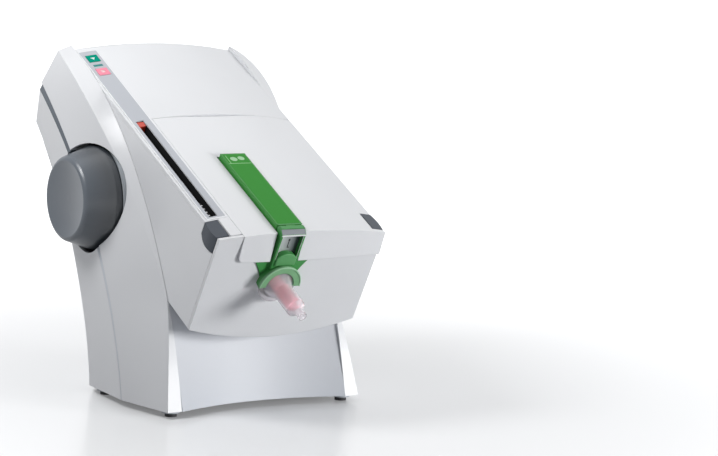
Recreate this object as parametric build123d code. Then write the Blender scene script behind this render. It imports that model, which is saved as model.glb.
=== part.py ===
"""Bench mixer for dental impression material, with a sloping deck over a two-tube cartridge.

Millimetres. +Z up, the mixing tip points to -Y, and the hand wheel is on the -X side.
Deck parts are modelled flat: x across, y to the rear along the deck, z above the deck line.
The names f and n stand for the distance forward from the deck's rear edge and for the height
above the deck line, so a flat part's y is -f and its z is n.
"""

import math
import os

from build123d import *

os.makedirs("parts", exist_ok=True)

# Deck and snout
deck_pitch = 28.2
deck_rear_y = 123.0
deck_rear_z = 319.7
deck_back_f = -8.0
deck_front_f = 305.5
deck_half_width = 88.0
crown_drop = 8.0
front_bulge = 3.0
rear_corner_radius = 5.0
cover_flange = 12.0
under_rear_f = 255.0
snout_depth = 117.0
belly_drop = 11.5
rear_face_depth = 90.6
snout_wall_low = [(225.0, -98.0), (120.0, -62.0)]
snout_wall_rear = (40.0, -82.6)
snout_wall = 4.0
wall = 3.0
shut_gap = 0.3
seat_gap = 0.2

# Side shells: profile curves seen from the side, as (y, z) points, and how far each stands out
# past the deck's half width
shell_seat = deck_half_width + seat_gap
side_reach = 130.0
floor_gap = 6.0
inner_crease = [(132.4, 319.1), (108.0, 307.0), (31.0, 246.5), (-20.0, 181.0), (-61.0, 103.0)]
crease = [(135.2, 313.8), (75.0, 277.0), (14.0, 208.5), (-41.5, 135.5), (-61.5, 101.0)]
crease_spread = [12.5, 16.5, 6.5, 2.5, 1.5]
leg_front = [(-72.0, 77.0), (-82.0, 44.0), (-91.5, floor_gap)]
leg_spread = [5.0, 10.0, 15.0]
ridge = [(151.5, 282.5), (119.0, 258.0), (85.5, 224.5), (23.5, 137.5), (-7.0, 72.0), (-24.5, floor_gap)]
ridge_spread = [21.0, 23.5, 24.0, 24.0, 24.0, 24.0]
rim = [(173.4, 243.0), (134.5, 199.0), (105.5, 157.0), (83.0, 114.0), (64.5, 66.5), (52.0, floor_gap)]
rim_spread = [14.5, 15.0, 15.5, 16.0, 16.0, 16.0]
band_edge = [(176.0, 228.0), (141.0, 188.0), (113.0, 143.0), (97.0, 111.0), (83.5, 79.0), (69.0, floor_gap)]

# Rear body: the back's profile as (y, z) points, and how its corners run out to the rims
rear_back = [
    (174.5, 243.0),
    (174.2, 221.0),
    (173.2, 199.0),
    (169.5, 180.0),
    (160.5, 157.0),
    (145.5, 114.0),
    (135.0, 66.5),
    (132.5, floor_gap),
]
rear_flat_half = 30.0
rear_corner_round = 0.2
rear_rows = 16
rear_side_points = 14
trim_top_width = 8.0
trim_bottom_width = 2.5
trim_sink = 2.0
trim_thickness = 2.0
base_front_hollow = 16.0

# Lid
lid_inset = 24.0
lid_rear_gap = 14.7
lid_skirt_depth = 30.0
lid_short_skirt = 12.0
lid_notch_slope = 1.8
lid_lean = 6.0
lid_corner_radius = 5.0
hinge_radius = 4.8
hinge_pin_radius = 1.2
hinge_fit = 0.05
hinge_knuckle_radius = 2.6
hinge_knuckle_width = 9.0
hinge_spacing = 56.0
hinge_sweep_gap = 0.5
hinge_lug_width = 4.0
hinge_lug_radius = 3.4
hinge_arm_back = 0.5
hinge_foot_length = 12.0
spine_slot_gap = 1.6

# Cartridge, tip and locking piece, all about one drive axis
axis_x = -17.0
axis_depth = 53.9
spine_width = 26.0
spine_rear_f = 193.0
spine_front_f = 305.0
spine_proud = 3.5
spine_depth = 28.0
base_tube_x = 22.0
base_tube_radius = 29.5
catalyst_tube_x = -42.5
catalyst_tube_radius = 13.5
tube_wall = 2.0
tube_rear_gap = 3.0
tube_front_f = 288.0
tube_plate = 4.0
tray_reach = 12.0
tray_rib_f = (180.0, 270.0)
bag_clearance = 0.4
manifold_front_f = 302.5
manifold_half_height = 6.1
outlet_radius = 3.0
web_width = 5.0
web_setback = 7.0
bag_gap = 4.0
collar_radius = 11.0
collar_bore = 7.5
collar_front_f = 310.0
tip_flange_radius = 18.3
tip_flange_f = 314.2
tip_flange_thickness = 3.0
tip_tube_radius = 8.8
tip_tube_rear_f = 328.0
tip_tube_front_f = 352.0
tip_end_f = 364.5
tip_cone_radius = 14.0
tip_end_radius = 4.2
tip_shoulder = 5.0
tip_wall = 1.4
ring_radius = 21.6
ring_front_f = 320.4
ring_rear_f = 312.0
ring_edge = 1.8
lock_hinge_f = 308.5
lock_hinge_n = 0.6
lock_barrel_radius = 2.8
lock_pin_radius = 1.2
lock_lug_width = 9.0
lock_width = 25.4
lock_front_f = 315.8
lock_depth = 30.0
lock_cheek = 1.8
lock_back = 2.6
lock_roof_length = 3.0
lock_roof_drop = 1.2
ring_lip_radius = 14.5
notch_radius = 16.0
notch_waist = 21.5
notch_waist_depth = 41.0
notch_flare = 29.0

# Controls
strip_inset = 12.25
strip_width = 19.5
strip_rear_f = 3.0
strip_front_f = 279.0
strip_thickness = 0.6
slot_inset = 10.5
slot_width = 8.0
slot_rear_gap = 13.8
slot_spare = 27.0
key_inset = 12.5
key_size = 11.2
start_key_f = 15.5
stop_key_f = 38.5
key_gap = 0.3
key_travel = 0.8
key_proud = 0.9
key_flange = 0.8
key_flange_n = 10.1
key_flange_thickness = 1.5
key_switch_height = 0.6
board_thickness = 1.6
board_rear_f = 4.0
board_front_f = 50.0
board_post_radius = 1.8
lens_f = 27.5
lens_length = 9.0
lens_width = 3.0
button_rear_f = 281.0
button_front_f = 304.6
button_depth = 25.0
button_width = 11.5
button_gap = 0.4
button_travel = 1.0
button_dome = 1.6
button_low_f = 298.0
button_round = 30.0
guide_stop_height = 12.0

# Plunger drive
plunger_end_gap = 17.0
plunger_rest_gap = 6.0
plunger_thickness = 10.0
plunger_gap = 0.6
rack_width = 12.0
rack_height = 12.0
rack_teeth_width = 8.0
rack_rear_f = -4.0
yoke_thickness = 8.0
yoke_margin = 4.0
yoke_step = 1.5
rack_module = 1.5
rack_pinion_teeth = 16
drive_module = 1.0
wheel_gear_teeth = 12
shaft_gear_teeth = 23
gear_width = 6.0
gear_addendum = 0.7
gear_dedendum = 1.0
tooth_slack = 0.12
pressure_angle = 20.0
pinion_shaft_f = 118.0
pinion_shaft_radius = 5.0
wheel_shaft_radius = 5.0
wheel_shaft_lead = 5.6
running_fit = 0.05
gear_inset = 21.0
spindle_radius = 3.5
bracket_inset = 28.0
bracket_thickness = 2.5
bracket_margin = 12.0
shaft_clearance = 0.6
arm_width = 4.0
arm_height = 4.0
arm_depth = 18.0
pointer_width = 7.0
pointer_length = 7.0
pointer_sink = 0.9
pointer_gap = 0.8

# Hand wheel
wheel_face_out = 43.7
wheel_skirt_out = 16.0
wheel_back_out = 9.5
wheel_back_radius = 48.3
wheel_face_radius = 38.6
wheel_dish = 4.5
wheel_well_out = 7.3
wheel_well_gap = 2.6
wheel_hub_radius = 11.0
wheel_round = 3.0
wheel_side_flare = 1.0
wheel_dish_flat = 4.0
well_rim = 1.8
well_post_circle = 30.0
well_post_radius = 5.0
well_post_angles = (203.0, 250.0, 297.0)

# Frames and drive motor
frame_inset = 6.0
frame_thickness = 3.0
bulkhead_lead = 19.0
bulkhead_thickness = 4.0
bulkhead_depth = 100.0
bulkhead_top = 14.0
bush_radius = 8.0
bush_flange = 0.4
mount_thickness = 4.0
feed_motor_x = 42.0
feed_shaft_reach = 18.0
feed_can_radius = 15.0
feed_can_length = 55.0
feed_gearbox_rear = 18.0
feed_gearbox_drop = 20.0
feed_gearbox_rise = 12.0
frame_rear_corners = [
    (-50.0, 9.4),
    (64.0, 9.4),
    (75.0, 60.0),
    (97.0, 118.0),
    (129.0, 178.0),
    (156.0, 232.0),
]
frame_front_lead = 3.0
frame_deck_depths = (-20.0, -17.0, -98.0)
frame_deck_rear_f = -2.0
frame_front_corners = [(-40.0, 70.0)]
motor_mount_setback = 13.0
drive_shaft_radius = 4.0
pulley_setback = 6.0
pulley_width = 6.0
drive_pulley_radius = 12.0
motor_pulley_radius = 8.0
motor_depth = 125.0
motor_radius = 22.0
motor_length = 75.0
belt_thickness = 1.6
belt_seat = 0.15
motor_shaft_radius = 2.5
motor_shaft_hold = 11.5
shaft_front_f = 309.0
hex_length = 12.0
rotor_hub_radius = 6.0
rotor_core_radius = 1.8
rotor_front_f = 350.0
rotor_blade_f = 318.0
rotor_blade_rows = 7
rotor_blade_turn = 40.0
rotor_blade_radius = 6.4
rotor_blade_length = 3.5
rotor_blade_width = 2.2

# Feet and base
foot_pad_radius = 5.5
foot_pad_height = 3.5
foot_boss_radius = 8.5
foot_places = [(-78.0, 92.0), (36.0, 95.0), (110.0, 34.0)]
base_screw_x = 44.0
base_screw_y = (24.0, 98.0)
screw_radius = 1.8
supply_half = 54.0
supply_height = 38.0
supply_margin = 8.0
screw_head_radius = 3.4
screw_head_height = 1.6
screw_length = 6.0
post_height = 14.0
post_radius = 2.9
chip_side_count = 2
chip_pitch = 18.0
chip_width = 12.0
chip_height = 5.0
chip_y = (48.0, 64.0)

# Mains inlet and rocker
inlet_x = 19.0
module_z = 36.0
inlet_width = 28.0
inlet_height = 21.0
rocker_x = -13.0
rocker_width = 13.0
rocker_height = 19.0
rocker_tilt = 8.0
rocker_side = [(-3.5, -6.5), (2.6, -8.0), (1.4, 0.0), (2.6, 8.0), (-3.5, 6.5)]
rocker_well_depth = 8.0
rocker_pivot_radius = 1.2
rocker_pivot_hold = 1.5
module_rim = 4.0
module_lip = 2.0
module_lip_gap = 0.4
module_depth = 25.0
module_proud = 1.8
inlet_cavity_depth = 15.5
inlet_cavity_width = 24.4
inlet_cavity_height = 17.0
pin_places = ((-7.0, -1.5), (0.0, 2.5), (7.0, -1.5))
pin_thickness = 2.0
pin_height = 4.0
pin_setback = 2.5
rocker_sink = 1.6
vent_pitch = 8.0
vent_width = 3.0
vent_side_count = 4
vent_z = (196.0, 224.0)

deck = Location((0, deck_rear_y, deck_rear_z), (deck_pitch, 0, 0))
crease_half_width = [deck_half_width + spread for spread in crease_spread]
leg_half_width = [deck_half_width + spread for spread in leg_spread]
ridge_half_width = [deck_half_width + spread for spread in ridge_spread]
rim_half_width = [deck_half_width + spread for spread in rim_spread]
lid_left_x = lid_inset - deck_half_width
strip_x = strip_inset - deck_half_width
slot_x = slot_inset - deck_half_width
key_x = key_inset - deck_half_width
wheel_face_x = -deck_half_width - wheel_face_out
wheel_skirt_x = -deck_half_width - wheel_skirt_out
wheel_back_x = -deck_half_width - wheel_back_out
wheel_well_x = -deck_half_width - wheel_well_out
gear_x = gear_inset - deck_half_width
bracket_x = (bracket_inset - deck_half_width, bracket_inset + bracket_thickness - deck_half_width)
frame_x = deck_half_width - frame_inset
bulkhead_f = pinion_shaft_f + bulkhead_lead
motor_mount_f = bulkhead_f - motor_mount_setback
pulley_f = bulkhead_f - pulley_setback
lid_rear_f = bulkhead_f - lid_rear_gap
slot_rear_f = bulkhead_f - slot_rear_gap
plunger_rest_f = bulkhead_f + plunger_rest_gap
tube_rear_f = plunger_rest_f + plunger_thickness + tube_rear_gap
plunger_travel = tube_front_f - plunger_end_gap - plunger_thickness - plunger_rest_f
frame_front_f = bulkhead_f + frame_front_lead
frame_deck_corners = list(zip((frame_deck_rear_f, frame_front_f, frame_front_f), frame_deck_depths))
crown_radius = deck_half_width**2 / (2 * crown_drop) + crown_drop / 2
bulge_radius = deck_half_width**2 / (2 * front_bulge) + front_bulge / 2
snout_side_depth = snout_depth - belly_drop
belly_radius = deck_half_width**2 / (2 * belly_drop) + belly_drop / 2
rack_pitch_radius = rack_module * rack_pinion_teeth / 2
rack_top_n = -axis_depth + rack_height / 2
rack_root_n = rack_top_n - rack_height
slot_front_f = slot_rear_f + pointer_gap + pointer_length + plunger_travel + slot_spare
board_depth = key_flange_n + key_flange_thickness + key_travel + key_switch_height
rack_pitch_n = rack_root_n - gear_dedendum * rack_module
rack_tip_n = rack_pitch_n - gear_addendum * rack_module
pinion_shaft_n = rack_pitch_n - rack_pitch_radius
gear_distance = drive_module * (wheel_gear_teeth + shaft_gear_teeth) / 2
wheel_shaft_f = pinion_shaft_f + wheel_shaft_lead
wheel_shaft_n = pinion_shaft_n - math.sqrt(gear_distance**2 - wheel_shaft_lead**2)
frame_inner_x = frame_x - frame_thickness / 2
hinge_n = -hinge_radius
hinge_f = lid_rear_f + hinge_radius

# Spans that reach through the skin, through a whole shell, and past every side
above_n = 20.0
skin_n = (-30.0, above_n)
shell_n = (-60.0, above_n)
past_x = 120.0
past_f = deck_front_f + past_x / 3


def on_deck(shape):
    """Moves a part that was modelled flat on to the sloping deck."""
    return deck * shape


def deck_box(x, f, n):
    """A flat box between two values of x, of f and of n."""
    size = Box(x[1] - x[0], f[1] - f[0], n[1] - n[0])
    return Pos((x[0] + x[1]) / 2, -(f[0] + f[1]) / 2, (n[0] + n[1]) / 2) * size


def deck_rod(x, n, f, radius):
    """A round bar along the deck between two values of f."""
    bar = Rot(90, 0, 0) * Cylinder(radius, f[1] - f[0])
    return Pos(x, -(f[0] + f[1]) / 2, n) * bar


def cross_rod(f, n, x, radius):
    """A round bar across the deck between two values of x."""
    bar = Rot(0, 90, 0) * Cylinder(radius, x[1] - x[0])
    return Pos((x[0] + x[1]) / 2, -f, n) * bar


def world_box(x, y, z):
    """A box between two values of x, of y and of z."""
    size = Box(x[1] - x[0], y[1] - y[0], z[1] - z[0])
    return Pos((x[0] + x[1]) / 2, (y[0] + y[1]) / 2, (z[0] + z[1]) / 2) * size


def crown(lift=0.0):
    """The flat-frame space under the crowned deck surface, moved by lift along n."""
    radius = crown_radius + lift
    return deck_rod(0, -crown_radius, (-past_x, past_f + past_x), radius)


def bulge(inset=0.0):
    """The flat-frame space behind the bowed front face."""
    front = deck_front_f + wall + front_bulge - inset
    post = Cylinder(bulge_radius, 3 * snout_depth)
    return Pos(0, bulge_radius - front, -snout_depth / 2) * post


def belly(inset=0.0):
    """The flat-frame space above the crowned underside of the snout."""
    return deck_rod(0, -snout_depth + belly_radius, (past_x, past_f + past_x), belly_radius - inset)


def side_curve(points, half_widths):
    """A curve on the left side through (y, z) points, each at its own half width."""
    return Spline(*[(-x, y, z) for (y, z), x in zip(points, half_widths)]).edge()


def fill(curve_a, curve_b):
    """The space on the inner side of the ruled face between two side curves."""
    face = Face.make_surface_from_curves(curve_a, curve_b)
    return Solid.extrude(face, Vector(side_reach / 2, 0, 0))


def profile_face(edges, x):
    """A flat face at one x, from closed runs of (y, z) points, straight or smooth."""
    sides = []
    for smooth, points in edges:
        spots = [(x, y, z) for y, z in points]
        if smooth:
            sides += Spline(*spots).edges()
        else:
            sides += Polyline(*spots).edges()
    return Face(Wire(sides))


def mirrored(shape):
    """The same piece on the other side."""
    return mirror(shape, about=Plane.YZ)


parts = {}


def keep(name, shape):
    """Notes a finished piece under its node name."""
    parts[name] = shape


def shifted(points, widths):
    """The points moved square to their own curve, towards the rear."""
    moved = []
    for i, (y, z) in enumerate(points):
        before = points[max(i - 1, 0)]
        after = points[min(i + 1, len(points) - 1)]
        run = (after[0] - before[0], after[1] - before[1])
        length = math.hypot(*run)
        moved.append((y - widths[i] * run[1] / length, z + widths[i] * run[0] / length))
    return moved


def drawn_in(points, depth):
    """The points of a curve moved square to it, with both ends drawn in by one wall."""
    moved = shifted(points, [depth] * len(points))
    for end, near in ((0, 1), (-1, -2)):
        run = (points[near][0] - points[end][0], points[near][1] - points[end][1])
        share = wall / math.hypot(*run)
        moved[end] = (moved[end][0] + share * run[0], moved[end][1] + share * run[1])
    return moved


def moulded_side(front, front_widths, rear, rear_widths):
    """The outside and the hollow of a thin left side shell between two side curves."""
    outer = fill(side_curve(front, front_widths), side_curve(rear, rear_widths))
    front_in = drawn_in(front, wall)
    rear_in = drawn_in(rear, -wall)[::-1]
    low_end = [front_in[-1], rear_in[0]]
    high_end = [rear_in[-1], front_in[0]]
    runs = [(True, front_in), (False, low_end), (True, rear_in), (False, high_end)]
    pocket = Solid.extrude(profile_face(runs, -side_reach), Vector(side_reach, 0, 0))
    return outer, Pos(wall, 0, 0) * outer & pocket


left_half = world_box((-side_reach, -shell_seat), (-past_f, past_f), (0, past_f))
opening_radius = wheel_back_radius + wheel_well_gap
wheel_opening = on_deck(cross_rod(wheel_shaft_f, wheel_shaft_n, (-side_reach, 0), opening_radius))


# Side shells: thin mouldings over the leg, each with a soft raised band along the snout
def side_shell():
    front = crease + leg_front
    front_widths = crease_half_width + leg_half_width
    outer, hollow = moulded_side(front, front_widths, ridge, ridge_half_width)
    edge = side_curve(front, front_widths)
    corner = Vector(-crease_half_width[-1], *crease[-1])
    upper = side_curve(inner_crease, [deck_half_width] * len(inner_crease))
    soft_band = fill(upper, edge.trim(0, edge.param_at_point(corner)))
    return (outer + soft_band & left_half) - hollow


right_shell = side_shell()
keep("side_shell_right", mirrored(right_shell))
keep("side_shell_left", right_shell - wheel_opening)


# Rear wings: the rear half of each side, behind the grey trim
steps = len(ridge) - 1
trim_widths = [trim_top_width + (trim_bottom_width - trim_top_width) * i / steps for i in range(len(ridge))]
trim_edge = shifted(ridge, trim_widths)
rear_lean = math.radians(90 - deck_pitch)
trim_edge[0] = (
    ridge[0][0] + trim_top_width * math.cos(rear_lean),
    ridge[0][1] - trim_top_width * math.sin(rear_lean),
)
trim_edge[-1] = (ridge[-1][0] + trim_bottom_width, floor_gap)
wing_front_width = [w - shut_gap for w in ridge_half_width]


def rear_wing():
    outer, hollow = moulded_side(trim_edge, wing_front_width, rim, rim_half_width)
    return (outer & left_half) - hollow


right_wing = rear_wing()
keep("rear_wing_right", mirrored(right_wing))
keep("rear_wing_left", right_wing - wheel_opening)


# Side trims: grey inlays sunk between each side shell and wing
trim_face = Face.make_surface_from_curves(
    side_curve(ridge, [w - trim_sink for w in ridge_half_width]), side_curve(trim_edge, wing_front_width)
)
left_trim = Solid.extrude(trim_face, Vector(trim_thickness + wall, 0, 0))
keep("side_trims", Compound([left_trim - wheel_opening, mirrored(left_trim)]))


# Rear body: one rounded shell behind the rims, from a flat back out to both sides
rim_curve = Spline(*[(0, y, z) for y, z in rim])
back_curve = Spline(*[(0, y, z) for y, z in rear_back])


def height_y(curve, z):
    """The y of a curve that falls from its start, at one height."""
    above = 0.0
    below = 1.0
    for _ in range(30):
        middle = (above + below) / 2
        if (curve @ middle).Z > z:
            above = middle
        else:
            below = middle
    return (curve @ above).Y


def rear_row(z, inset):
    """Points round the rear body at one height, drawn in by inset."""
    front_y = height_y(rim_curve, z) - inset
    back_y = height_y(back_curve, z) - inset
    half = rim_half_width[-1] - shut_gap - inset / 2
    flat = rear_flat_half - inset / 2
    whole = math.hypot(1, rear_corner_round) - rear_corner_round
    row = []
    for i in range(-rear_side_points, rear_side_points + 1):
        x = half * i / rear_side_points
        past_flat = max(0.0, (abs(x) - flat) / (half - flat))
        share = (math.hypot(past_flat, rear_corner_round) - rear_corner_round) / whole
        row.append((x, back_y - (back_y - front_y) * share, z))
    return row


def rear_body(inset=0.0):
    """The space in front of the rear body's surface, drawn in by inset."""
    top = rear_back[0][1]
    step = (top - floor_gap) / rear_rows
    rows = [rear_row(top - step * i, inset) for i in range(rear_rows + 1)]
    skin_face = Face.make_surface_from_array_of_points(rows)
    return Solid.extrude(skin_face, Vector(0, -past_x, 0))


rim_line = [(y + shut_gap, z) for y, z in rim]
band_front_y = leg_front[-1][0]
band_top_z = rear_back[0][1] + wall
rim_front = [rim_line[-1], (band_front_y, floor_gap), (band_front_y, band_top_z)]
rim_front += [(rim_line[0][0], band_top_z), rim_line[0]]
front_face = profile_face([(True, rim_line), (False, rim_front)], -side_reach)
front_side = Solid.extrude(front_face, Vector(2 * side_reach, 0, 0))
rear_space = rear_body()
rear_hollow = rear_body(wall)
band_corner = (band_edge[0][0], band_top_z)
band_runs = [
    (True, band_edge),
    (False, [band_edge[-1], (band_front_y, floor_gap), (band_front_y, band_top_z), band_corner]),
    (False, [band_corner, band_edge[0]]),
]
band_side = Solid.extrude(profile_face(band_runs, -side_reach), Vector(2 * side_reach, 0, 0))
seam_side = Pos(0, shut_gap, -shut_gap) * band_side

# Recess band: the grey collar of the rear body, next to the rims and across the top of the back
keep("recess_band", (rear_space - front_side & band_side) - rear_hollow)

# Rear cover: the rest of the rear body, with vents and the mains module's window
flat_back_y = rear_back[-1][0]
module_left = rocker_x - rocker_width / 2 - module_rim
module_right = inlet_x + inlet_width / 2
window_z = (module_z - inlet_height / 2, module_z + inlet_height / 2)
module_y = (flat_back_y - module_depth, flat_back_y + wall)
module_window = world_box((module_left, module_right), module_y, window_z)
vent_y = (rear_back[0][0] - 2 * wall, rear_back[0][0] + wall)
vents = [
    world_box((i * vent_pitch - vent_width / 2, i * vent_pitch + vent_width / 2), vent_y, vent_z)
    for i in range(-vent_side_count, vent_side_count + 1)
]
keep("rear_cover", rear_space - seam_side - rear_hollow - module_window - vents)

# Top cover: crowned hood with the control margin beside the lid and a short rear wall
cover_front_f = lid_rear_f - shut_gap
margin_right = lid_left_x - shut_gap
panel_back_f = deck_front_f - shut_gap
full_width = (-deck_half_width, deck_half_width)
skin = crown() - crown(-wall)
hood = deck_box(full_width, (deck_back_f, cover_front_f), skin_n)
margin = deck_box((-deck_half_width, margin_right), (cover_front_f - wall, panel_back_f), skin_n)
rear_wall = deck_box(full_width, (deck_back_f, deck_back_f + wall), (-rear_face_depth, above_n))
seam_x = (margin_right, deck_half_width - snout_wall - shut_gap)
flange_n = (-cover_flange, above_n)
seam_flange = deck_box(seam_x, (cover_front_f - wall, cover_front_f), flange_n)
side_flange = deck_box((margin_right - wall, margin_right), (cover_front_f - wall, panel_back_f), flange_n)
cover = ((hood + margin) & skin) + (rear_wall + seam_flange + side_flange & crown())
top_rear_edge = cover.edges().filter_by(lambda e: abs(e.center().Y + deck_back_f) < 0.1).sort_by(Axis.Z)[-1]
cover = fillet(top_rear_edge, rear_corner_radius)
post_x = margin_right - wall - board_post_radius
board_posts = [
    Pos(post_x, -f, -board_depth / 2) * Cylinder(board_post_radius, board_depth) & crown(-wall / 2)
    for f in (board_rear_f + wall, board_front_f - wall)
]
slot_sides = (slot_x - slot_width / 2, slot_x + slot_width / 2)
slot_cut = deck_box(slot_sides, (slot_rear_f, slot_front_f), skin_n)
key_hole = key_size / 2 + key_gap
key_cuts = [
    deck_box((key_x - key_hole, key_x + key_hole), (f - key_hole, f + key_hole), skin_n)
    for f in (start_key_f, stop_key_f)
]
lens_sides = (key_x - lens_length / 2, key_x + lens_length / 2)
lens_ends = (lens_f - lens_width / 2, lens_f + lens_width / 2)
lens_room_x = (lens_sides[0] - seat_gap, lens_sides[1] + seat_gap)
lens_room_f = (lens_ends[0] - seat_gap, lens_ends[1] + seat_gap)
lens_cut = deck_box(lens_room_x, lens_room_f, skin_n)
hinge_sweep = cross_rod(hinge_f, hinge_n, (margin_right, past_x), hinge_radius + hinge_sweep_gap)


def button_block(grow, reach):
    """The left start button's outline from above and from the side, grown by a gap."""
    block_f = (button_rear_f - grow, button_front_f + grow)
    block = deck_box((-past_x, -deck_half_width + reach), block_f, shell_n)
    return block & cross_rod(button_low_f, button_round - button_depth, (-past_x, 0), button_round + grow)


button_hole = button_block(button_gap, button_width + button_gap + button_travel)
button_hole = button_hole + Pos(0, -button_gap - shut_gap, 0) * button_hole
keep("top_cover", on_deck(cover + board_posts - slot_cut - key_cuts - lens_cut - hinge_sweep - button_hole))

# Control strip: thin plate on the margin, round the keys, the status lens and the level slot
strip_edges = (strip_x - strip_width / 2, strip_x + strip_width / 2)
strip = deck_box(strip_edges, (strip_rear_f, strip_front_f), skin_n) & crown(strip_thickness)
keep("control_strip", on_deck(strip - crown() - slot_cut - key_cuts - lens_cut))

# Keys with their flanges under the cover, the status lens, and the board that all three press on
flange_half = key_size / 2 + key_flange
for name, f in (("start_key", start_key_f), ("stop_key", stop_key_f)):
    half = key_size / 2
    stem = deck_box((key_x - half, key_x + half), (f - half, f + half), (-key_flange_n, above_n))
    stem = stem & crown(key_proud)
    flange = deck_box(
        (key_x - flange_half, key_x + flange_half),
        (f - flange_half, f + flange_half),
        (-key_flange_n - key_flange_thickness, -key_flange_n),
    )
    keep(name, on_deck(stem + flange))
lens = deck_box(lens_sides, lens_ends, (-board_depth + seat_gap, above_n))
keep("status_lens", on_deck(lens & crown(strip_thickness)))
board_x = (-deck_half_width + snout_wall + shut_gap, margin_right - wall)
board_n = (-board_depth - board_thickness, -board_depth)
keep("key_board", on_deck(deck_box(board_x, (board_rear_f, board_front_f), board_n)))

# Snout shell: two side walls and a crowned underside in one moulding, below the top cover
wall_rear_f = deck_back_f + wall + shut_gap
wall_sides = [
    (wall_rear_f, above_n),
    (panel_back_f, above_n),
    (panel_back_f, -snout_depth),
    (under_rear_f, -snout_depth),
    (under_rear_f, snout_wall_low[0][1] - snout_wall),
    *snout_wall_low,
    snout_wall_rear,
    (wall_rear_f, snout_wall_rear[1]),
]
wall_spots = [(-deck_half_width, -f, n) for f, n in wall_sides]
left_wall = Solid.extrude(Face(Polyline(*wall_spots, close=True).wires()[0]), Vector(snout_wall, 0, 0))
rear_room_f = (-past_x, under_rear_f - 2 * snout_wall)
room = belly() + deck_box((-past_x, past_x), rear_room_f, (-snout_depth, above_n))
both_walls = left_wall + mirrored(left_wall) & crown(-wall - shut_gap) & room
under_n = (-snout_depth - wall, snout_wall_low[0][1])
under_skin = deck_box(full_width, (under_rear_f, panel_back_f), under_n) & belly() - belly(wall)
lid_side = deck_box((0, past_x), (hinge_f - shut_gap, past_f), (-lid_skirt_depth - shut_gap, above_n))
hinge_side = deck_box((0, past_x), (cover_front_f, past_f), (-2 * hinge_radius - 2 * shut_gap, above_n))
button_tab = deck_box(
    (deck_half_width - snout_wall, deck_half_width),
    (button_rear_f + shut_gap, panel_back_f),
    (-lid_skirt_depth - shut_gap, -button_depth - button_gap),
)
snout = both_walls + under_skin - lid_side - hinge_side - button_hole + (button_tab - mirrored(button_hole))
keep("snout_shell", on_deck(snout))


def lid_nose(inset=0.0):
    """The space behind the lid's front face, which stands a little steeper than the front panel."""
    edge = deck_front_f + wall + front_bulge - inset
    return Pos(0, -edge, 0) * Rot(-lid_lean, 0, 0) * Pos(0, edge, 0) * bulge(inset)


def lid_corner(gap=0.0):
    """What lies outside the round lower left corner of the lid's front face, past a gap."""
    sides = (lid_left_x - gap, lid_left_x + lid_corner_radius)
    ends = (deck_front_f, past_f)
    low = -lid_skirt_depth
    middle_n = low + lid_corner_radius
    round_part = deck_rod(sides[1], middle_n, ends, lid_corner_radius + gap)
    return deck_box(sides, ends, (low - gap, middle_n)) - round_part


# Front panel: bowed plate that closes the snout, with the tip's notch
def tip_notch(f, top_n, inset=0.0):
    """The notch for the tip between two values of f: a round seat under sides that flare to the lid."""
    spots = []
    for side in (-1, 1):
        top = (axis_x + side * (notch_flare - inset), -f[0], -lid_skirt_depth)
        waist = (axis_x + side * (notch_waist - inset), -f[0], -notch_waist_depth)
        low = (axis_x + side * (notch_radius - inset), -f[0], -axis_depth)
        spots.append((top, waist, low))
    left, right = spots
    roof = Polyline(left[0], (left[0][0], -f[0], top_n), (right[0][0], -f[0], top_n), right[0])
    sides = [ThreePointArc(*left), roof, ThreePointArc(*right), Line(left[2], right[2])]
    outline = Wire([edge for side in sides for edge in side.edges()])
    flare = Solid.extrude(Face(outline), Vector(0, f[0] - f[1], 0))
    return flare + deck_rod(axis_x, -axis_depth, f, notch_radius - inset)


notch = tip_notch((deck_front_f - 2 * wall, past_f), above_n)
panel_front = (deck_front_f, past_f)
lid_front = deck_box((margin_right, past_x), panel_front, (-lid_skirt_depth - shut_gap, above_n))
panel = deck_box(full_width, panel_front, (-snout_depth - wall, above_n)) & bulge() & crown() & belly()
keep("front_panel", on_deck(panel - bulge(wall) - (lid_front - lid_corner(shut_gap)) - notch))

# Start buttons: pads that wrap both front corners, each on a guide
button_dome_radius = (button_front_f - button_rear_f) ** 2 / (8 * button_dome) + button_dome / 2
dome_f = (button_front_f + button_rear_f) / 2
dome_x = -deck_half_width - button_dome + button_dome_radius
button_dome_post = Pos(dome_x, -dome_f, 0) * Cylinder(button_dome_radius, 2 * snout_depth)
left_button = button_block(0, button_width) & button_dome_post & crown()
keep("start_button_left", on_deck(left_button))
keep("start_button_right", on_deck(mirrored(left_button)))
guide_x = -deck_half_width + button_width + button_travel + button_gap
guide_n = -button_depth - button_gap
guide_f = (button_rear_f + wall, button_front_f - wall)
guide_sides = (-deck_half_width + snout_wall + seat_gap, guide_x + wall)
guide = deck_box(guide_sides, guide_f, (guide_n - wall, guide_n))
guide_stop = deck_box((guide_x, guide_x + wall), guide_f, (guide_n, guide_n + guide_stop_height))
keep("button_guides", on_deck(Compound([guide + guide_stop, mirrored(guide + guide_stop)])))

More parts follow.
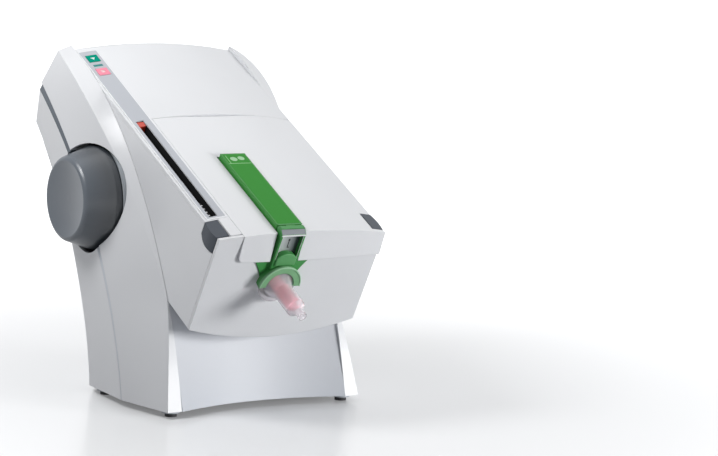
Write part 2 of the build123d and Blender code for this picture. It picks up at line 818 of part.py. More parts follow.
# Lid: bowed and crowned shell with a hinge bar at the rear, a slot for the spine and a button notch
lid_x = (lid_left_x, deck_half_width)
lid_outer = deck_box(lid_x, (hinge_f, past_f), (-lid_skirt_depth, above_n))
lid_outer = (lid_outer + cross_rod(hinge_f, hinge_n, lid_x, hinge_radius)) & crown() & lid_nose()
lid_hollow = deck_box((lid_x[0] + wall, lid_x[1] - wall), (hinge_f, past_f), shell_n)
lid_hollow = lid_hollow & crown(-wall) & lid_nose(wall)
low_left = deck_box((lid_x[0], lid_x[0] + wall), (hinge_f, deck_front_f), (shell_n[0], -lid_short_skirt))
spine_slot = deck_box(
    (axis_x - spine_width / 2 - spine_slot_gap, axis_x + spine_width / 2 + spine_slot_gap),
    (spine_rear_f - spine_slot_gap, past_f),
    shell_n,
)
notch_points = [
    (button_rear_f - button_gap, above_n),
    (button_rear_f - button_gap, -2 * hinge_radius),
    (button_rear_f - button_gap - lid_notch_slope, -button_depth),
    (button_rear_f - button_gap - lid_notch_slope, shell_n[0]),
    (deck_front_f - seat_gap, shell_n[0]),
    (deck_front_f - seat_gap, above_n),
]
notch_start = deck_half_width - button_width - button_travel - button_gap
lid_notch_spots = [(notch_start, -f, n) for f, n in notch_points]
lid_notch = Solid.extrude(Face(Polyline(*lid_notch_spots, close=True).wires()[0]), Vector(past_x, 0, 0))
lid = lid_outer - lid_hollow - low_left - spine_slot - lid_notch - lid_corner()
brackets = []
pins = []
for hinge_x in (-hinge_spacing / 2, hinge_spacing / 2):
    knuckle_half = hinge_knuckle_width / 2
    clear_half = knuckle_half + shut_gap
    pin_half = clear_half + hinge_lug_width
    for side in (-1, 1):
        lug_x = sorted((hinge_x + side * clear_half, hinge_x + side * pin_half))
        lid = lid + cross_rod(hinge_f, hinge_n, lug_x, hinge_lug_radius)
    clear_x = (hinge_x - clear_half, hinge_x + clear_half)
    knuckle_x = (hinge_x - knuckle_half, hinge_x + knuckle_half)
    lid = lid - cross_rod(hinge_f, hinge_n, clear_x, hinge_knuckle_radius + shut_gap)
    lid = lid - deck_box(clear_x, (lid_rear_f, hinge_f + hinge_radius), (shell_n[0], hinge_n))
    pin = cross_rod(hinge_f, hinge_n, (hinge_x - pin_half, hinge_x + pin_half), hinge_pin_radius)
    lid = lid - pin
    pins.append(pin)
    knuckle = cross_rod(hinge_f, hinge_n, knuckle_x, hinge_knuckle_radius)
    bracket_arm_f = (hinge_f - hinge_arm_back, hinge_f + hinge_knuckle_radius)
    bracket_foot_f = (cover_front_f - hinge_foot_length, bracket_arm_f[1])
    drop = deck_box(knuckle_x, bracket_arm_f, (-cover_flange - wall, hinge_n))
    foot = deck_box(knuckle_x, bracket_foot_f, (-cover_flange - wall, -cover_flange))
    hole = cross_rod(hinge_f, hinge_n, knuckle_x, hinge_pin_radius + hinge_fit)
    brackets.append(knuckle + drop + foot - hole)
keep("lid", on_deck(lid))
keep("lid_hinge_pins", on_deck(Compound(pins)))
keep("hinge_brackets", on_deck(Compound(brackets)))

# Cartridge: two tubes, an outlet block with its collar, and the web that carries the spine
tube_f = (tube_rear_f, tube_front_f)
plate_f = (tube_front_f, tube_front_f + tube_plate)
tubes = [(base_tube_x, base_tube_radius), (catalyst_tube_x, catalyst_tube_radius)]
plate_n = (-axis_depth - catalyst_tube_radius, -axis_depth + catalyst_tube_radius)
body = deck_box((catalyst_tube_x, base_tube_x), plate_f, plate_n)
for x, radius in tubes:
    body = body + deck_rod(x, -axis_depth, (tube_rear_f, plate_f[1]), radius + tube_wall)
    body = body - deck_rod(x, -axis_depth, tube_f, radius)
block_x = (catalyst_tube_x - manifold_half_height, base_tube_x + manifold_half_height)
block_f = (plate_f[1], manifold_front_f)
block_n = (-axis_depth - manifold_half_height, -axis_depth + manifold_half_height)
body = body + deck_box(block_x, block_f, block_n)
body = body + deck_rod(axis_x, -axis_depth, (manifold_front_f, collar_front_f), collar_radius)
body = body - deck_rod(axis_x, -axis_depth, (manifold_front_f, collar_front_f), collar_bore)
channel_f = (block_f[0] + wall, block_f[1] - wall)
channel_n = (-axis_depth - outlet_radius, -axis_depth + outlet_radius)
for x, radius in tubes:
    body = body - deck_box((min(x, axis_x), max(x, axis_x)), channel_f, channel_n)
    body = body - deck_rod(x, -axis_depth, (tube_front_f - tube_wall, channel_f[1]), outlet_radius)
spine_x = (axis_x - spine_width / 2, axis_x + spine_width / 2)
web_x = (axis_x - web_width / 2, axis_x + web_width / 2)
web_f = (spine_rear_f + web_setback, manifold_front_f)
body = body + deck_box(web_x, web_f, (block_n[1], -spine_depth - wall))
body = body + deck_box(spine_x, (spine_rear_f, spine_front_f), (-spine_depth - wall, -spine_depth))
shaft_room = drive_shaft_radius + shaft_clearance
body = body - deck_rod(axis_x, -axis_depth, (tube_rear_f, manifold_front_f), shaft_room)
keep("cartridge_body", on_deck(body))

# Cartridge spine: hollow label cover that fills the lid's slot, with the lug of the locking piece
spine = deck_box(spine_x, (spine_rear_f, spine_front_f), (-spine_depth, spine_proud))
spine_inner = (spine_x[0] + tube_wall, spine_x[1] - tube_wall)
spine_room = (spine_rear_f + tube_wall, spine_front_f - tube_wall)
spine = spine - deck_box(spine_inner, spine_room, (-spine_depth, spine_proud - tube_wall))
lug_x = (axis_x - lock_lug_width / 2, axis_x + lock_lug_width / 2)
lug_n = (lock_hinge_n - lock_barrel_radius, lock_hinge_n + lock_barrel_radius)
lug = deck_box(lug_x, (spine_front_f, lock_hinge_f), lug_n)
lug = lug + cross_rod(lock_hinge_f, lock_hinge_n, lug_x, lock_barrel_radius)
spine = spine + lug - cross_rod(lock_hinge_f, lock_hinge_n, lug_x, lock_pin_radius + running_fit)
keep("cartridge_spine", on_deck(spine))

# Material bags inside the tubes, which the plungers press flat
bag_f = (plunger_rest_f + plunger_thickness + bag_gap, tube_front_f - bag_gap)
bags = [deck_rod(x, -axis_depth, bag_f, radius - bag_clearance) for x, radius in tubes]
keep("material_bags", on_deck(Compound(bags)))

# Mixing tip: clear hollow housing, turned about the drive axis as (radius, f) points
tip_inner = tip_tube_radius - tip_wall
neck = (collar_radius + shut_gap, collar_radius + shut_gap + tube_wall)
flange_front = tip_flange_f + tip_flange_thickness
tip_profile = [
    (neck[0], manifold_front_f + tube_wall),
    (neck[1], manifold_front_f + tube_wall),
    (neck[1], tip_flange_f),
    (tip_flange_radius, tip_flange_f),
    (tip_flange_radius, flange_front),
    (tip_cone_radius, flange_front),
    (tip_tube_radius, tip_tube_rear_f),
    (tip_tube_radius, tip_tube_front_f),
    (tip_end_radius, tip_tube_front_f + tip_shoulder),
    (tip_end_radius, tip_end_f),
    (tip_end_radius - tip_wall, tip_end_f),
    (tip_end_radius - tip_wall, tip_tube_front_f + tip_shoulder - tip_wall / 2),
    (tip_inner, tip_tube_front_f - tip_wall / 2),
    (tip_inner, tip_tube_rear_f + tip_wall / 2),
    (neck[0], flange_front - tip_wall),
]


def turned(profile):
    """A solid turned about the drive axis from (radius, f) points."""
    spots = [(radius, -f, 0) for radius, f in profile]
    ring = revolve(Face(Polyline(*spots, close=True).wires()[0]), Axis.Y)
    return Pos(axis_x, 0, -axis_depth) * ring


keep("tip_housing", on_deck(turned(tip_profile)))

# Mixing rotor: hub with a hex socket and rows of blades, each row turned against the last
hex_face = Plane.XZ * RegularPolygon(drive_shaft_radius, 6)
hex_bit = Pos(axis_x, -shaft_front_f + hex_length, -axis_depth) * extrude(hex_face, hex_length)
hub_f = (shaft_front_f - hex_length / 2, collar_front_f + 2)
rotor = deck_rod(axis_x, -axis_depth, hub_f, rotor_hub_radius)
rotor = rotor + deck_rod(axis_x, -axis_depth, (hub_f[1], rotor_front_f), rotor_core_radius)
rotor = rotor - hex_bit
blade_pitch = (rotor_front_f - rotor_blade_f) / rotor_blade_rows
for i in range(rotor_blade_rows):
    blade = Box(2 * rotor_blade_radius, rotor_blade_length, rotor_blade_width)
    blade = blade & Rot(90, 0, 0) * Cylinder(rotor_blade_radius, blade_pitch)
    spot = Pos(axis_x, -rotor_blade_f - blade_pitch * (i + 0.5), -axis_depth)
    rotor = rotor + spot * Rot(0, rotor_blade_turn * i, 0) * blade
keep("mixing_rotor", on_deck(rotor))

# Drive shaft with its pulley, held by the bulkhead
round_f = (pulley_f - pulley_width / 2, shaft_front_f - hex_length)
keep("drive_shaft", on_deck(deck_rod(axis_x, -axis_depth, round_f, drive_shaft_radius) + hex_bit))
pulley_span = (pulley_f - pulley_width / 2, pulley_f + pulley_width / 2)
drive_pulley = deck_rod(axis_x, -axis_depth, pulley_span, drive_pulley_radius)
keep("drive_pulley", on_deck(drive_pulley - deck_rod(axis_x, -axis_depth, pulley_span, drive_shaft_radius)))

# Mixing motor below the shaft on its cross plate, its own pulley, and the belt between the pulleys
motor_mount_span = (motor_mount_f - mount_thickness / 2, motor_mount_f + mount_thickness / 2)
motor_span = (motor_mount_span[0] - motor_length, motor_mount_span[0])
motor_bore = motor_shaft_radius + running_fit
motor = deck_rod(axis_x, -motor_depth, motor_span, motor_radius)
motor_shaft_rear_f = motor_span[1] - motor_shaft_hold
motor = motor - deck_rod(axis_x, -motor_depth, (motor_shaft_rear_f - shut_gap, motor_span[1]), motor_bore)
keep("mixing_motor", on_deck(motor))
motor_pulley = deck_rod(axis_x, -motor_depth, pulley_span, motor_pulley_radius)
motor_shaft_span = (motor_shaft_rear_f, pulley_span[1])
motor_pulley = motor_pulley + deck_rod(axis_x, -motor_depth, motor_shaft_span, motor_shaft_radius)
keep("motor_pulley", on_deck(motor_pulley))
mount_half = frame_inner_x - seat_gap
mount_n = (-motor_depth - motor_radius - wall, -motor_depth + motor_radius - 1)
motor_mount = deck_box((-mount_half, mount_half), motor_mount_span, mount_n)
motor_hole = deck_rod(axis_x, -motor_depth, motor_mount_span, motor_shaft_radius + shaft_clearance)
keep("motor_mount", on_deck(motor_mount - motor_hole))


def belt_loop(grow):
    """The outline of the belt round both pulleys, grown past their radii."""
    top = drive_pulley_radius + grow
    low = motor_pulley_radius + grow
    span = motor_depth - axis_depth
    lean = math.asin((drive_pulley_radius - motor_pulley_radius) / span)
    rise = -math.sin(lean)
    run = math.cos(lean)
    corners = [
        (axis_x - top * run, -axis_depth + top * rise),
        (axis_x + top * run, -axis_depth + top * rise),
        (axis_x + low * run, -motor_depth + low * rise),
        (axis_x - low * run, -motor_depth + low * rise),
    ]
    rear = -(pulley_span[0] + seat_gap)
    length = pulley_width - 2 * seat_gap
    sides = Face(Polyline(*[(x, rear, n) for x, n in corners], close=True).wires()[0])
    loop = Solid.extrude(sides, Vector(0, -length, 0))
    for depth, radius in ((axis_depth, top), (motor_depth, low)):
        loop = loop + deck_rod(axis_x, -depth, (-rear, -rear + length), radius)
    return loop


keep("drive_belt", on_deck(belt_loop(belt_seat + belt_thickness) - belt_loop(belt_seat)))


# Spur gears across the deck, with involute flanks
def gear(module, teeth, width, bore, tooth_angle):
    """A gear about X at the origin, one tooth centred at an angle from +Y towards +Z."""
    pitch_radius = module * teeth / 2
    base_radius = pitch_radius * math.cos(math.radians(pressure_angle))
    root_radius = pitch_radius - gear_dedendum * module
    tip_radius = pitch_radius + gear_addendum * module
    pitch_half = math.pi / (2 * teeth) - tooth_slack / (2 * pitch_radius)
    roll = math.radians(pressure_angle)
    base_half = pitch_half + math.tan(roll) - roll
    flank = [(root_radius, base_half)]
    start = max(base_radius, root_radius)
    for i in range(4):
        radius = start + (tip_radius - start) * i / 3
        roll = math.acos(min(1.0, base_radius / radius))
        flank.append((radius, base_half - math.tan(roll) + roll))
    spots = []
    for k in range(teeth):
        centre = math.radians(tooth_angle) + 2 * math.pi * k / teeth
        sides = [(r, centre - a) for r, a in flank] + [(r, centre + a) for r, a in reversed(flank)]
        spots += [(-width / 2, r * math.cos(a), r * math.sin(a)) for r, a in sides]
    wheel = Solid.extrude(Face(Polyline(*spots, close=True).wires()[0]), Vector(width, 0, 0))
    return wheel - Rot(0, 90, 0) * Cylinder(bore, width)


# Pinion shaft: one gear driven by the hand wheel, and a rack pinion under each rack
shaft_x = (-frame_x - frame_thickness / 2, feed_motor_x + feed_shaft_reach)
keep("pinion_shaft", on_deck(cross_rod(pinion_shaft_f, pinion_shaft_n, shaft_x, pinion_shaft_radius)))
mesh_angle = math.degrees(math.atan2(wheel_shaft_n - pinion_shaft_n, pinion_shaft_f - wheel_shaft_f))
shaft_gear = gear(drive_module, shaft_gear_teeth, gear_width, pinion_shaft_radius, mesh_angle)
keep("pinion_gear", on_deck(Pos(gear_x, -pinion_shaft_f, pinion_shaft_n) * shaft_gear))
gap_up = 90 + 180 / rack_pinion_teeth
rack_pinion = gear(rack_module, rack_pinion_teeth, rack_teeth_width, pinion_shaft_radius, gap_up)
pinion_spots = [Pos(x, -pinion_shaft_f, pinion_shaft_n) for x, _ in tubes]
keep("rack_pinions", on_deck(Compound([spot * rack_pinion for spot in pinion_spots])))

# Plunger racks: square rods with teeth underneath, from the yoke to the discs
rack_f = (rack_rear_f, plunger_rest_f)
rack_pitch = math.pi * rack_module
tooth_half = rack_pitch / 4 - tooth_slack / 2
tooth_flare = math.tan(math.radians(pressure_angle)) * rack_module


def rack_tooth(f):
    """One rack tooth below the rod, as a prism across it."""
    root = tooth_half + tooth_flare * gear_dedendum
    tip = tooth_half - tooth_flare * gear_addendum
    corners = [(f - root, rack_root_n + wall), (f - root, rack_root_n), (f - tip, rack_tip_n)]
    corners += [(f + tip, rack_tip_n), (f + root, rack_root_n), (f + root, rack_root_n + wall)]
    return Polyline(*[(-rack_teeth_width / 2, -y, n) for y, n in corners], close=True).wires()[0]


first_tooth = math.ceil((rack_f[0] + rack_pitch / 2 - pinion_shaft_f) / rack_pitch)
last_tooth = math.floor((rack_f[1] - 2 * rack_pitch - pinion_shaft_f) / rack_pitch)
teeth = [
    Solid.extrude(Face(rack_tooth(pinion_shaft_f + k * rack_pitch)), Vector(rack_teeth_width, 0, 0))
    for k in range(first_tooth, last_tooth + 1)
]
rod = deck_box((-rack_width / 2, rack_width / 2), rack_f, (rack_root_n, rack_top_n))
toothed_rod = rod + teeth
racks = Compound([Pos(x, 0, 0) * toothed_rod for x, _ in tubes])
keep("plunger_racks", on_deck(racks))
disc_f = (plunger_rest_f, plunger_rest_f + plunger_thickness)
discs = [deck_rod(x, -axis_depth, disc_f, radius - plunger_gap) for x, radius in tubes]
keep("plunger_discs", on_deck(Compound(discs)))

# Rack yoke: cross bar behind both racks, with the arm that carries the level pointer
arm_x = (slot_x - arm_width / 2, slot_x + arm_width / 2)
yoke_f = (rack_rear_f, rack_rear_f + yoke_thickness)
yoke_n = (rack_root_n + yoke_step, rack_top_n + 1)
yoke = deck_box((arm_x[0], base_tube_x + rack_width / 2 + yoke_margin), yoke_f, yoke_n)
yoke = yoke - [Pos(x, 0, 0) * rod for x, _ in tubes]
yoke = yoke + deck_box(arm_x, yoke_f, (yoke_n[0], -arm_depth + arm_height / 2))
arm_n = (-arm_depth - arm_height / 2, -arm_depth + arm_height / 2)
pointer_f = (slot_rear_f + pointer_gap, slot_rear_f + pointer_gap + pointer_length)
yoke = yoke + deck_box(arm_x, (yoke_f[0], pointer_f[1]), arm_n)
keep("rack_yoke", on_deck(yoke))
pointer_x = (slot_x - pointer_width / 2, slot_x + pointer_width / 2)
pointer = deck_box(pointer_x, pointer_f, (arm_n[1], above_n)) & crown(strip_thickness - pointer_sink)
keep("level_pointer", on_deck(pointer))


# Hand wheel: dished cap with a hollow back, its shaft and its gear
def wheel_rod(x, radius):
    """A round bar about the wheel's axis between two values of x."""
    return cross_rod(wheel_shaft_f, wheel_shaft_n, x, radius)


hub_x = (wheel_face_x + wheel_dish + wall, wheel_back_x)
face_edge = wheel_face_radius - wheel_round
dish_radius = face_edge**2 / (2 * wheel_dish) + wheel_dish / 2
dish_middle = wheel_face_x + wheel_dish - dish_radius + math.sqrt(dish_radius**2 - face_edge**2 / 4)
dish_end = (wheel_face_x + wheel_dish, wheel_dish_flat)
side_end = (wheel_face_x + wheel_round, wheel_face_radius + wheel_side_flare)
corner_bow = (1 - math.sqrt(0.5)) * wheel_round
wheel_sides = [
    Line((wheel_back_x, wheel_back_radius), (wheel_skirt_x, wheel_back_radius)),
    Line((wheel_skirt_x, wheel_back_radius), side_end),
    ThreePointArc(
        side_end,
        (wheel_face_x + corner_bow, wheel_face_radius - corner_bow),
        (wheel_face_x, face_edge),
    ),
    ThreePointArc((wheel_face_x, face_edge), (dish_middle, face_edge / 2), dish_end),
    Polyline(
        dish_end,
        (wheel_face_x + wheel_dish, 0),
        (hub_x[0], 0),
        (hub_x[0], wheel_shaft_radius),
        (hub_x[1], wheel_shaft_radius),
        (hub_x[1], wheel_hub_radius),
        (hub_x[0], wheel_hub_radius),
        (hub_x[0], wheel_face_radius - wall),
        (wheel_skirt_x, wheel_back_radius - wall),
        (wheel_back_x, wheel_back_radius - wall),
        (wheel_back_x, wheel_back_radius),
    ),
]
wheel_edges = [edge for side in wheel_sides for edge in side.edges()]
wheel = revolve(Face(Wire(wheel_edges)), Axis.X)
keep("hand_wheel", on_deck(Pos(0, -wheel_shaft_f, wheel_shaft_n) * wheel))
spindle_x = (gear_x - gear_width / 2, bracket_x[1])
wheel_shaft = wheel_rod((hub_x[0], spindle_x[0]), wheel_shaft_radius) + wheel_rod(spindle_x, spindle_radius)
keep("wheel_shaft", on_deck(wheel_shaft))
gap_up = mesh_angle + 180 + 180 / wheel_gear_teeth
wheel_gear = gear(drive_module, wheel_gear_teeth, gear_width, spindle_radius, gap_up)
keep("wheel_gear", on_deck(Pos(gear_x, -wheel_shaft_f, wheel_shaft_n) * wheel_gear))

# Wheel well: round tray behind the hand wheel, on three posts that stand on the side frame
well_radius = wheel_back_radius + wheel_well_gap - shut_gap
well = wheel_rod((wheel_back_x, wheel_well_x + wall), well_radius)
well = well - wheel_rod((wheel_back_x, wheel_well_x), well_radius - well_rim)
well = well - wheel_rod((wheel_back_x, wheel_well_x + wall), wheel_shaft_radius + shaft_clearance)
frame_outer_x = frame_x + frame_thickness / 2
for angle in well_post_angles:
    f = wheel_shaft_f + well_post_circle * math.cos(math.radians(angle))
    n = wheel_shaft_n + well_post_circle * math.sin(math.radians(angle))
    well = well + cross_rod(f, n, (wheel_well_x + wall, -frame_outer_x), well_post_radius)
keep("wheel_well", on_deck(well))

# Side frames: two plates inside the housing that carry the cross plates and the shafts
deck_corners = [on_deck(Pos(0, -f, n)).position for f, n in frame_deck_corners]
frame_corners = frame_rear_corners + [(p.Y, p.Z) for p in deck_corners] + frame_front_corners
frame_face = Face(Polyline(*[(-frame_outer_x, y, z) for y, z in frame_corners], close=True).wires()[0])
frame = Solid.extrude(frame_face, Vector(frame_thickness, 0, 0))
plain_frame = frame
bush_x = (-frame_outer_x - bush_flange, -frame_inner_x)
for f, n in ((pinion_shaft_f, pinion_shaft_n), (wheel_shaft_f, wheel_shaft_n)):
    frame = frame - on_deck(cross_rod(f, n, (-frame_outer_x, -frame_inner_x), bush_radius))
keep("side_frames", Compound([frame, mirrored(plain_frame)]))

# Bushings: plain bearings for both cross shafts in the frame, and for the drive shaft in the bulkhead
bulkhead_span = (bulkhead_f - bulkhead_thickness / 2, bulkhead_f + bulkhead_thickness / 2)
shaft_bushes = [
    cross_rod(f, n, bush_x, bush_radius) - cross_rod(f, n, bush_x, radius + running_fit)
    for f, n, radius in (
        (pinion_shaft_f, pinion_shaft_n, pinion_shaft_radius),
        (wheel_shaft_f, wheel_shaft_n, wheel_shaft_radius),
    )
]
drive_bush_f = (bulkhead_span[0], bulkhead_span[1] + wall)
drive_bush = deck_rod(axis_x, -axis_depth, drive_bush_f, bush_radius)
drive_bush = drive_bush - deck_rod(axis_x, -axis_depth, drive_bush_f, drive_shaft_radius + running_fit)
keep("shaft_bushings", on_deck(Compound(shaft_bushes + [drive_bush])))

# Bulkhead: cross plate between the frames that guides the racks and the level arm
bulkhead = deck_box((-mount_half, mount_half), bulkhead_span, (-bulkhead_depth, -bulkhead_top))
for x, _ in tubes:
    guide_half = rack_width / 2 + shut_gap
    rack_room = (rack_tip_n - shut_gap, rack_top_n + shut_gap)
    bulkhead = bulkhead - deck_box((x - guide_half, x + guide_half), bulkhead_span, rack_room)
arm_room = (pointer_x[0] - shaft_clearance, pointer_x[1] + shaft_clearance)
bulkhead = bulkhead - deck_box(arm_room, bulkhead_span, (arm_n[0] - shaft_clearance, above_n))
keep("bulkhead", on_deck(bulkhead - deck_rod(axis_x, -axis_depth, bulkhead_span, bush_radius)))

# Shaft bracket: plate on the bulkhead that holds the inner end of the wheel shaft
bracket_f = (pinion_shaft_f - bracket_margin, bulkhead_span[0])
bracket_n = (wheel_shaft_n - bracket_margin, pinion_shaft_n + bracket_margin)
bracket = deck_box(bracket_x, bracket_f, bracket_n)
bracket = bracket - wheel_rod(bracket_x, spindle_radius + running_fit)
pinion_room = pinion_shaft_radius + shaft_clearance
bracket = bracket - cross_rod(pinion_shaft_f, pinion_shaft_n, bracket_x, pinion_room)
keep("shaft_bracket", on_deck(bracket))

# Feed motor: gearbox on the pinion shaft and a round motor behind it
gearbox_n = (pinion_shaft_n - feed_gearbox_drop, pinion_shaft_n + feed_gearbox_rise)
gearbox_f = (pinion_shaft_f - feed_gearbox_rear, bulkhead_span[0])
feed_gearbox = deck_box((feed_motor_x, mount_half), gearbox_f, gearbox_n)
feed_bore_x = (feed_motor_x, shaft_x[1])
feed_bore = cross_rod(pinion_shaft_f, pinion_shaft_n, feed_bore_x, pinion_shaft_radius + running_fit)
feed_gearbox = feed_gearbox - feed_bore
can_x = feed_motor_x + feed_can_radius + tube_wall
can_n = gearbox_n[0] + feed_can_radius
feed_can = deck_rod(can_x, can_n, (gearbox_f[0] - feed_can_length, gearbox_f[0]), feed_can_radius)
keep("feed_motor", on_deck(feed_gearbox + feed_can))

# Cartridge tray: plate between the snout walls with two ribs that cradle the tubes
tray_half = deck_half_width - snout_wall - seat_gap
tray_top = -axis_depth - base_tube_radius - tube_wall - wall
tray_f = (frame_deck_corners[-1][0] + 1, tube_front_f + tray_reach)
tray = deck_box((-tray_half, tray_half), tray_f, (tray_top - wall, tray_top))
rib_x = (catalyst_tube_x - catalyst_tube_radius - 2 * wall, base_tube_x + base_tube_radius + 2 * wall)
for f in tray_rib_f:
    rib_f = (f - wall, f + wall)
    rib = deck_box(rib_x, rib_f, (tray_top, -axis_depth - 2 * wall))
    for x, radius in tubes:
        rib = rib - deck_rod(x, -axis_depth, rib_f, radius + tube_wall + shut_gap)
    rib = rib - deck_rod(axis_x, -axis_depth, rib_f, drive_shaft_radius + 2 * shaft_clearance)
    tray = tray + rib
keep("cartridge_tray", on_deck(tray))

# Locking piece: window box on a hinge pin over the tip, with a grooved half ring round its flange
box_x = (axis_x - lock_width / 2, axis_x + lock_width / 2)
box_side = [
    (lock_hinge_f, lock_hinge_n + lock_barrel_radius),
    (lock_hinge_f + lock_roof_length, lock_hinge_n + lock_barrel_radius),
    (lock_front_f, lock_hinge_n - lock_roof_drop),
    (lock_front_f, -lock_depth),
    (lock_hinge_f, -lock_depth),
]
box_spots = [(box_x[0], -f, n) for f, n in box_side]
lock = Solid.extrude(Face(Polyline(*box_spots, close=True).wires()[0]), Vector(lock_width, 0, 0))
lock = lock + cross_rod(lock_hinge_f, lock_hinge_n, box_x, lock_barrel_radius + seat_gap)
window_x = (box_x[0] + lock_cheek, box_x[1] - lock_cheek)
window_f = (lock_hinge_f + lock_back, lock_front_f + wall)
lock = lock - deck_box(window_x, window_f, (-lock_depth + wall, lock_hinge_n - lock_barrel_radius))
lug_room = (lug_x[0] - shut_gap, lug_x[1] + shut_gap)
lock = lock - cross_rod(lock_hinge_f, lock_hinge_n, lug_room, lock_barrel_radius + shut_gap)
lug_top = lock_hinge_n + 2 * lock_barrel_radius
lug_back = (lock_hinge_f - 2 * lock_barrel_radius, lock_hinge_f)
lock = lock - deck_box(lug_room, lug_back, (lock_hinge_n - 2 * lock_barrel_radius, lug_top))
lug_sweep = (lock_hinge_f, lock_hinge_f + lock_barrel_radius + shut_gap)
lock = lock - deck_box(lug_room, lug_sweep, (lock_hinge_n, lug_top))
ring_inner = tip_flange_radius + shut_gap
ring_profile = [
    (ring_inner, ring_rear_f),
    (ring_radius - ring_edge, ring_rear_f),
    (ring_radius, ring_front_f - ring_edge),
    (ring_radius, ring_front_f),
    (ring_lip_radius, ring_front_f),
    (ring_lip_radius, flange_front + shut_gap),
    (ring_inner, flange_front + shut_gap),
]
upper_half = deck_box((-past_x, past_x), (tube_front_f, tip_end_f), (-axis_depth, above_n))
ring = turned(ring_profile) & upper_half
saddle_n = (-axis_depth, -lid_skirt_depth - shut_gap)
saddle = tip_notch((lock_hinge_f, ring_rear_f), above_n, shut_gap)
saddle = saddle & deck_box((-past_x, past_x), (lock_hinge_f, ring_rear_f), saddle_n)
saddle = saddle + deck_box(box_x, (lock_hinge_f, lock_front_f), (-notch_waist_depth, -lock_depth + wall))
saddle = saddle - deck_rod(axis_x, -axis_depth, (tube_front_f, tip_end_f), ring_inner)
lock = lock + ring + saddle + cross_rod(lock_hinge_f, lock_hinge_n, box_x, lock_pin_radius)
keep("tip_lock", on_deck(lock))

# Base plate: floor of the leg between the side shells, with a curved front edge
hollow_radius = deck_half_width**2 / (2 * base_front_hollow) + base_front_hollow / 2
base_front_low = leg_front[-1]
base_front_high = crease[-1]
base_lean = math.atan2(base_front_high[0] - base_front_low[0], base_front_high[1] - base_front_low[1])
middle_y = base_front_low[0] + base_front_hollow
column_y = middle_y - hollow_radius * math.cos(base_lean)
column_z = floor_gap + hollow_radius * math.sin(base_lean)


def front_column(grow):
    """The leaning column in front of the base whose side is the hollow front."""
    column = Rot(-math.degrees(base_lean), 0, 0) * Cylinder(hollow_radius + grow, 2 * deck_rear_z)
    return Pos(0, column_y, column_z) * column


plate_z = (floor_gap, floor_gap + wall)
plate_half = deck_half_width - wall - seat_gap
rim_low_y = rim[-1][0]
plate = world_box((-plate_half, plate_half), (base_front_low[0], rim_low_y), plate_z)
plate_rear = world_box((-plate_half, plate_half), (rim_low_y, flat_back_y), plate_z)
plate = plate + (plate_rear & rear_body(wall + seat_gap))
screw_places = [(sx * base_screw_x, y) for sx in (-1, 1) for y in base_screw_y]
screw_hole = Pos(0, 0, plate_z[0]) * Cylinder(screw_radius + seat_gap, 2 * screw_length)
screw_holes = [Pos(x, y, 0) * screw_hole for x, y in screw_places]
keep("base_plate", plate - front_column(wall + seat_gap) - screw_holes)

# Base front panel: hollow-faced panel that leans back under the snout
front_block = world_box(full_width, (base_front_low[0] - wall, 0), (floor_gap, deck_rear_z / 2))
snout_space = on_deck(belly(-shut_gap))
base_front = front_block & front_column(wall) - front_column(0) - snout_space
keep("base_front_panel", base_front)

# Feet: round bosses under the housing, each with a pad
foot_spots = [(sx * x, y) for y, x in foot_places for sx in (-1, 1)]
boss_height = floor_gap - foot_pad_height
boss = Pos(0, 0, foot_pad_height + boss_height / 2) * Cylinder(foot_boss_radius, boss_height)
bosses = [Pos(x, y, 0) * boss for x, y in foot_spots]
pads = [Pos(x, y, foot_pad_height / 2) * Cylinder(foot_pad_radius, foot_pad_height) for x, y in foot_spots]
keep("foot_bosses", Compound(bosses))
keep("foot_pads", Compound(pads))

# Power supply on the base plate, held from below by screws, with the circuit board above it
supply_z = (plate_z[1], plate_z[1] + supply_height)
supply_y = (base_screw_y[0] - supply_margin, base_screw_y[1] + supply_margin)
supply = world_box((-supply_half, supply_half), supply_y, supply_z)
screw_head = Pos(0, 0, floor_gap - screw_head_height / 2) * Cylinder(screw_head_radius, screw_head_height)
screw_shank = Pos(0, 0, floor_gap + screw_length / 2) * Cylinder(screw_radius, screw_length)
keep("housing_screws", Compound([Pos(x, y, 0) * (screw_head + screw_shank) for x, y in screw_places]))
keep("power_supply", supply - [Pos(x, y, 0) * screw_shank for x, y in screw_places])
board_z = (supply_z[1] + post_height, supply_z[1] + post_height + board_thickness)
board = world_box((-supply_half, supply_half), supply_y, board_z)
for x, y in screw_places:
    board = board + Pos(x, y, (supply_z[1] + board_z[0]) / 2) * Cylinder(post_radius, post_height)
chip_z = (board_z[1], board_z[1] + chip_height)
for i in range(-chip_side_count, chip_side_count + 1):
    chip_x = (i * chip_pitch - chip_width / 2, i * chip_pitch + chip_width / 2)
    board = board + world_box(chip_x, chip_y, chip_z)
keep("circuit_board", board)

# Mains module: flanged block in the rear cover with the inlet's cavity, its pins and the rocker's well
face_y = flat_back_y + module_proud
block = world_box(
    (module_left + seat_gap, module_right - seat_gap),
    (flat_back_y - module_depth, face_y),
    (window_z[0] + seat_gap, window_z[1] - seat_gap),
)
lip_x = (module_left - module_lip, module_right + module_lip)
lip_z = (window_z[0] - module_lip, window_z[1] + module_lip)
module_flange = world_box(lip_x, (flat_back_y + module_lip_gap, face_y), lip_z)
cavity_y = (face_y - inlet_cavity_depth, face_y)
cavity = world_box(
    (inlet_x - inlet_cavity_width / 2, inlet_x + inlet_cavity_width / 2),
    cavity_y,
    (module_z - inlet_cavity_height / 2, module_z + inlet_cavity_height / 2),
)
pin_y = (cavity_y[0] - pin_thickness, cavity_y[1] - pin_setback)
pins = []
for x, z in pin_places:
    pin_x = (inlet_x + x - pin_thickness / 2, inlet_x + x + pin_thickness / 2)
    pins.append(world_box(pin_x, pin_y, (module_z + z - pin_height / 2, module_z + z + pin_height / 2)))
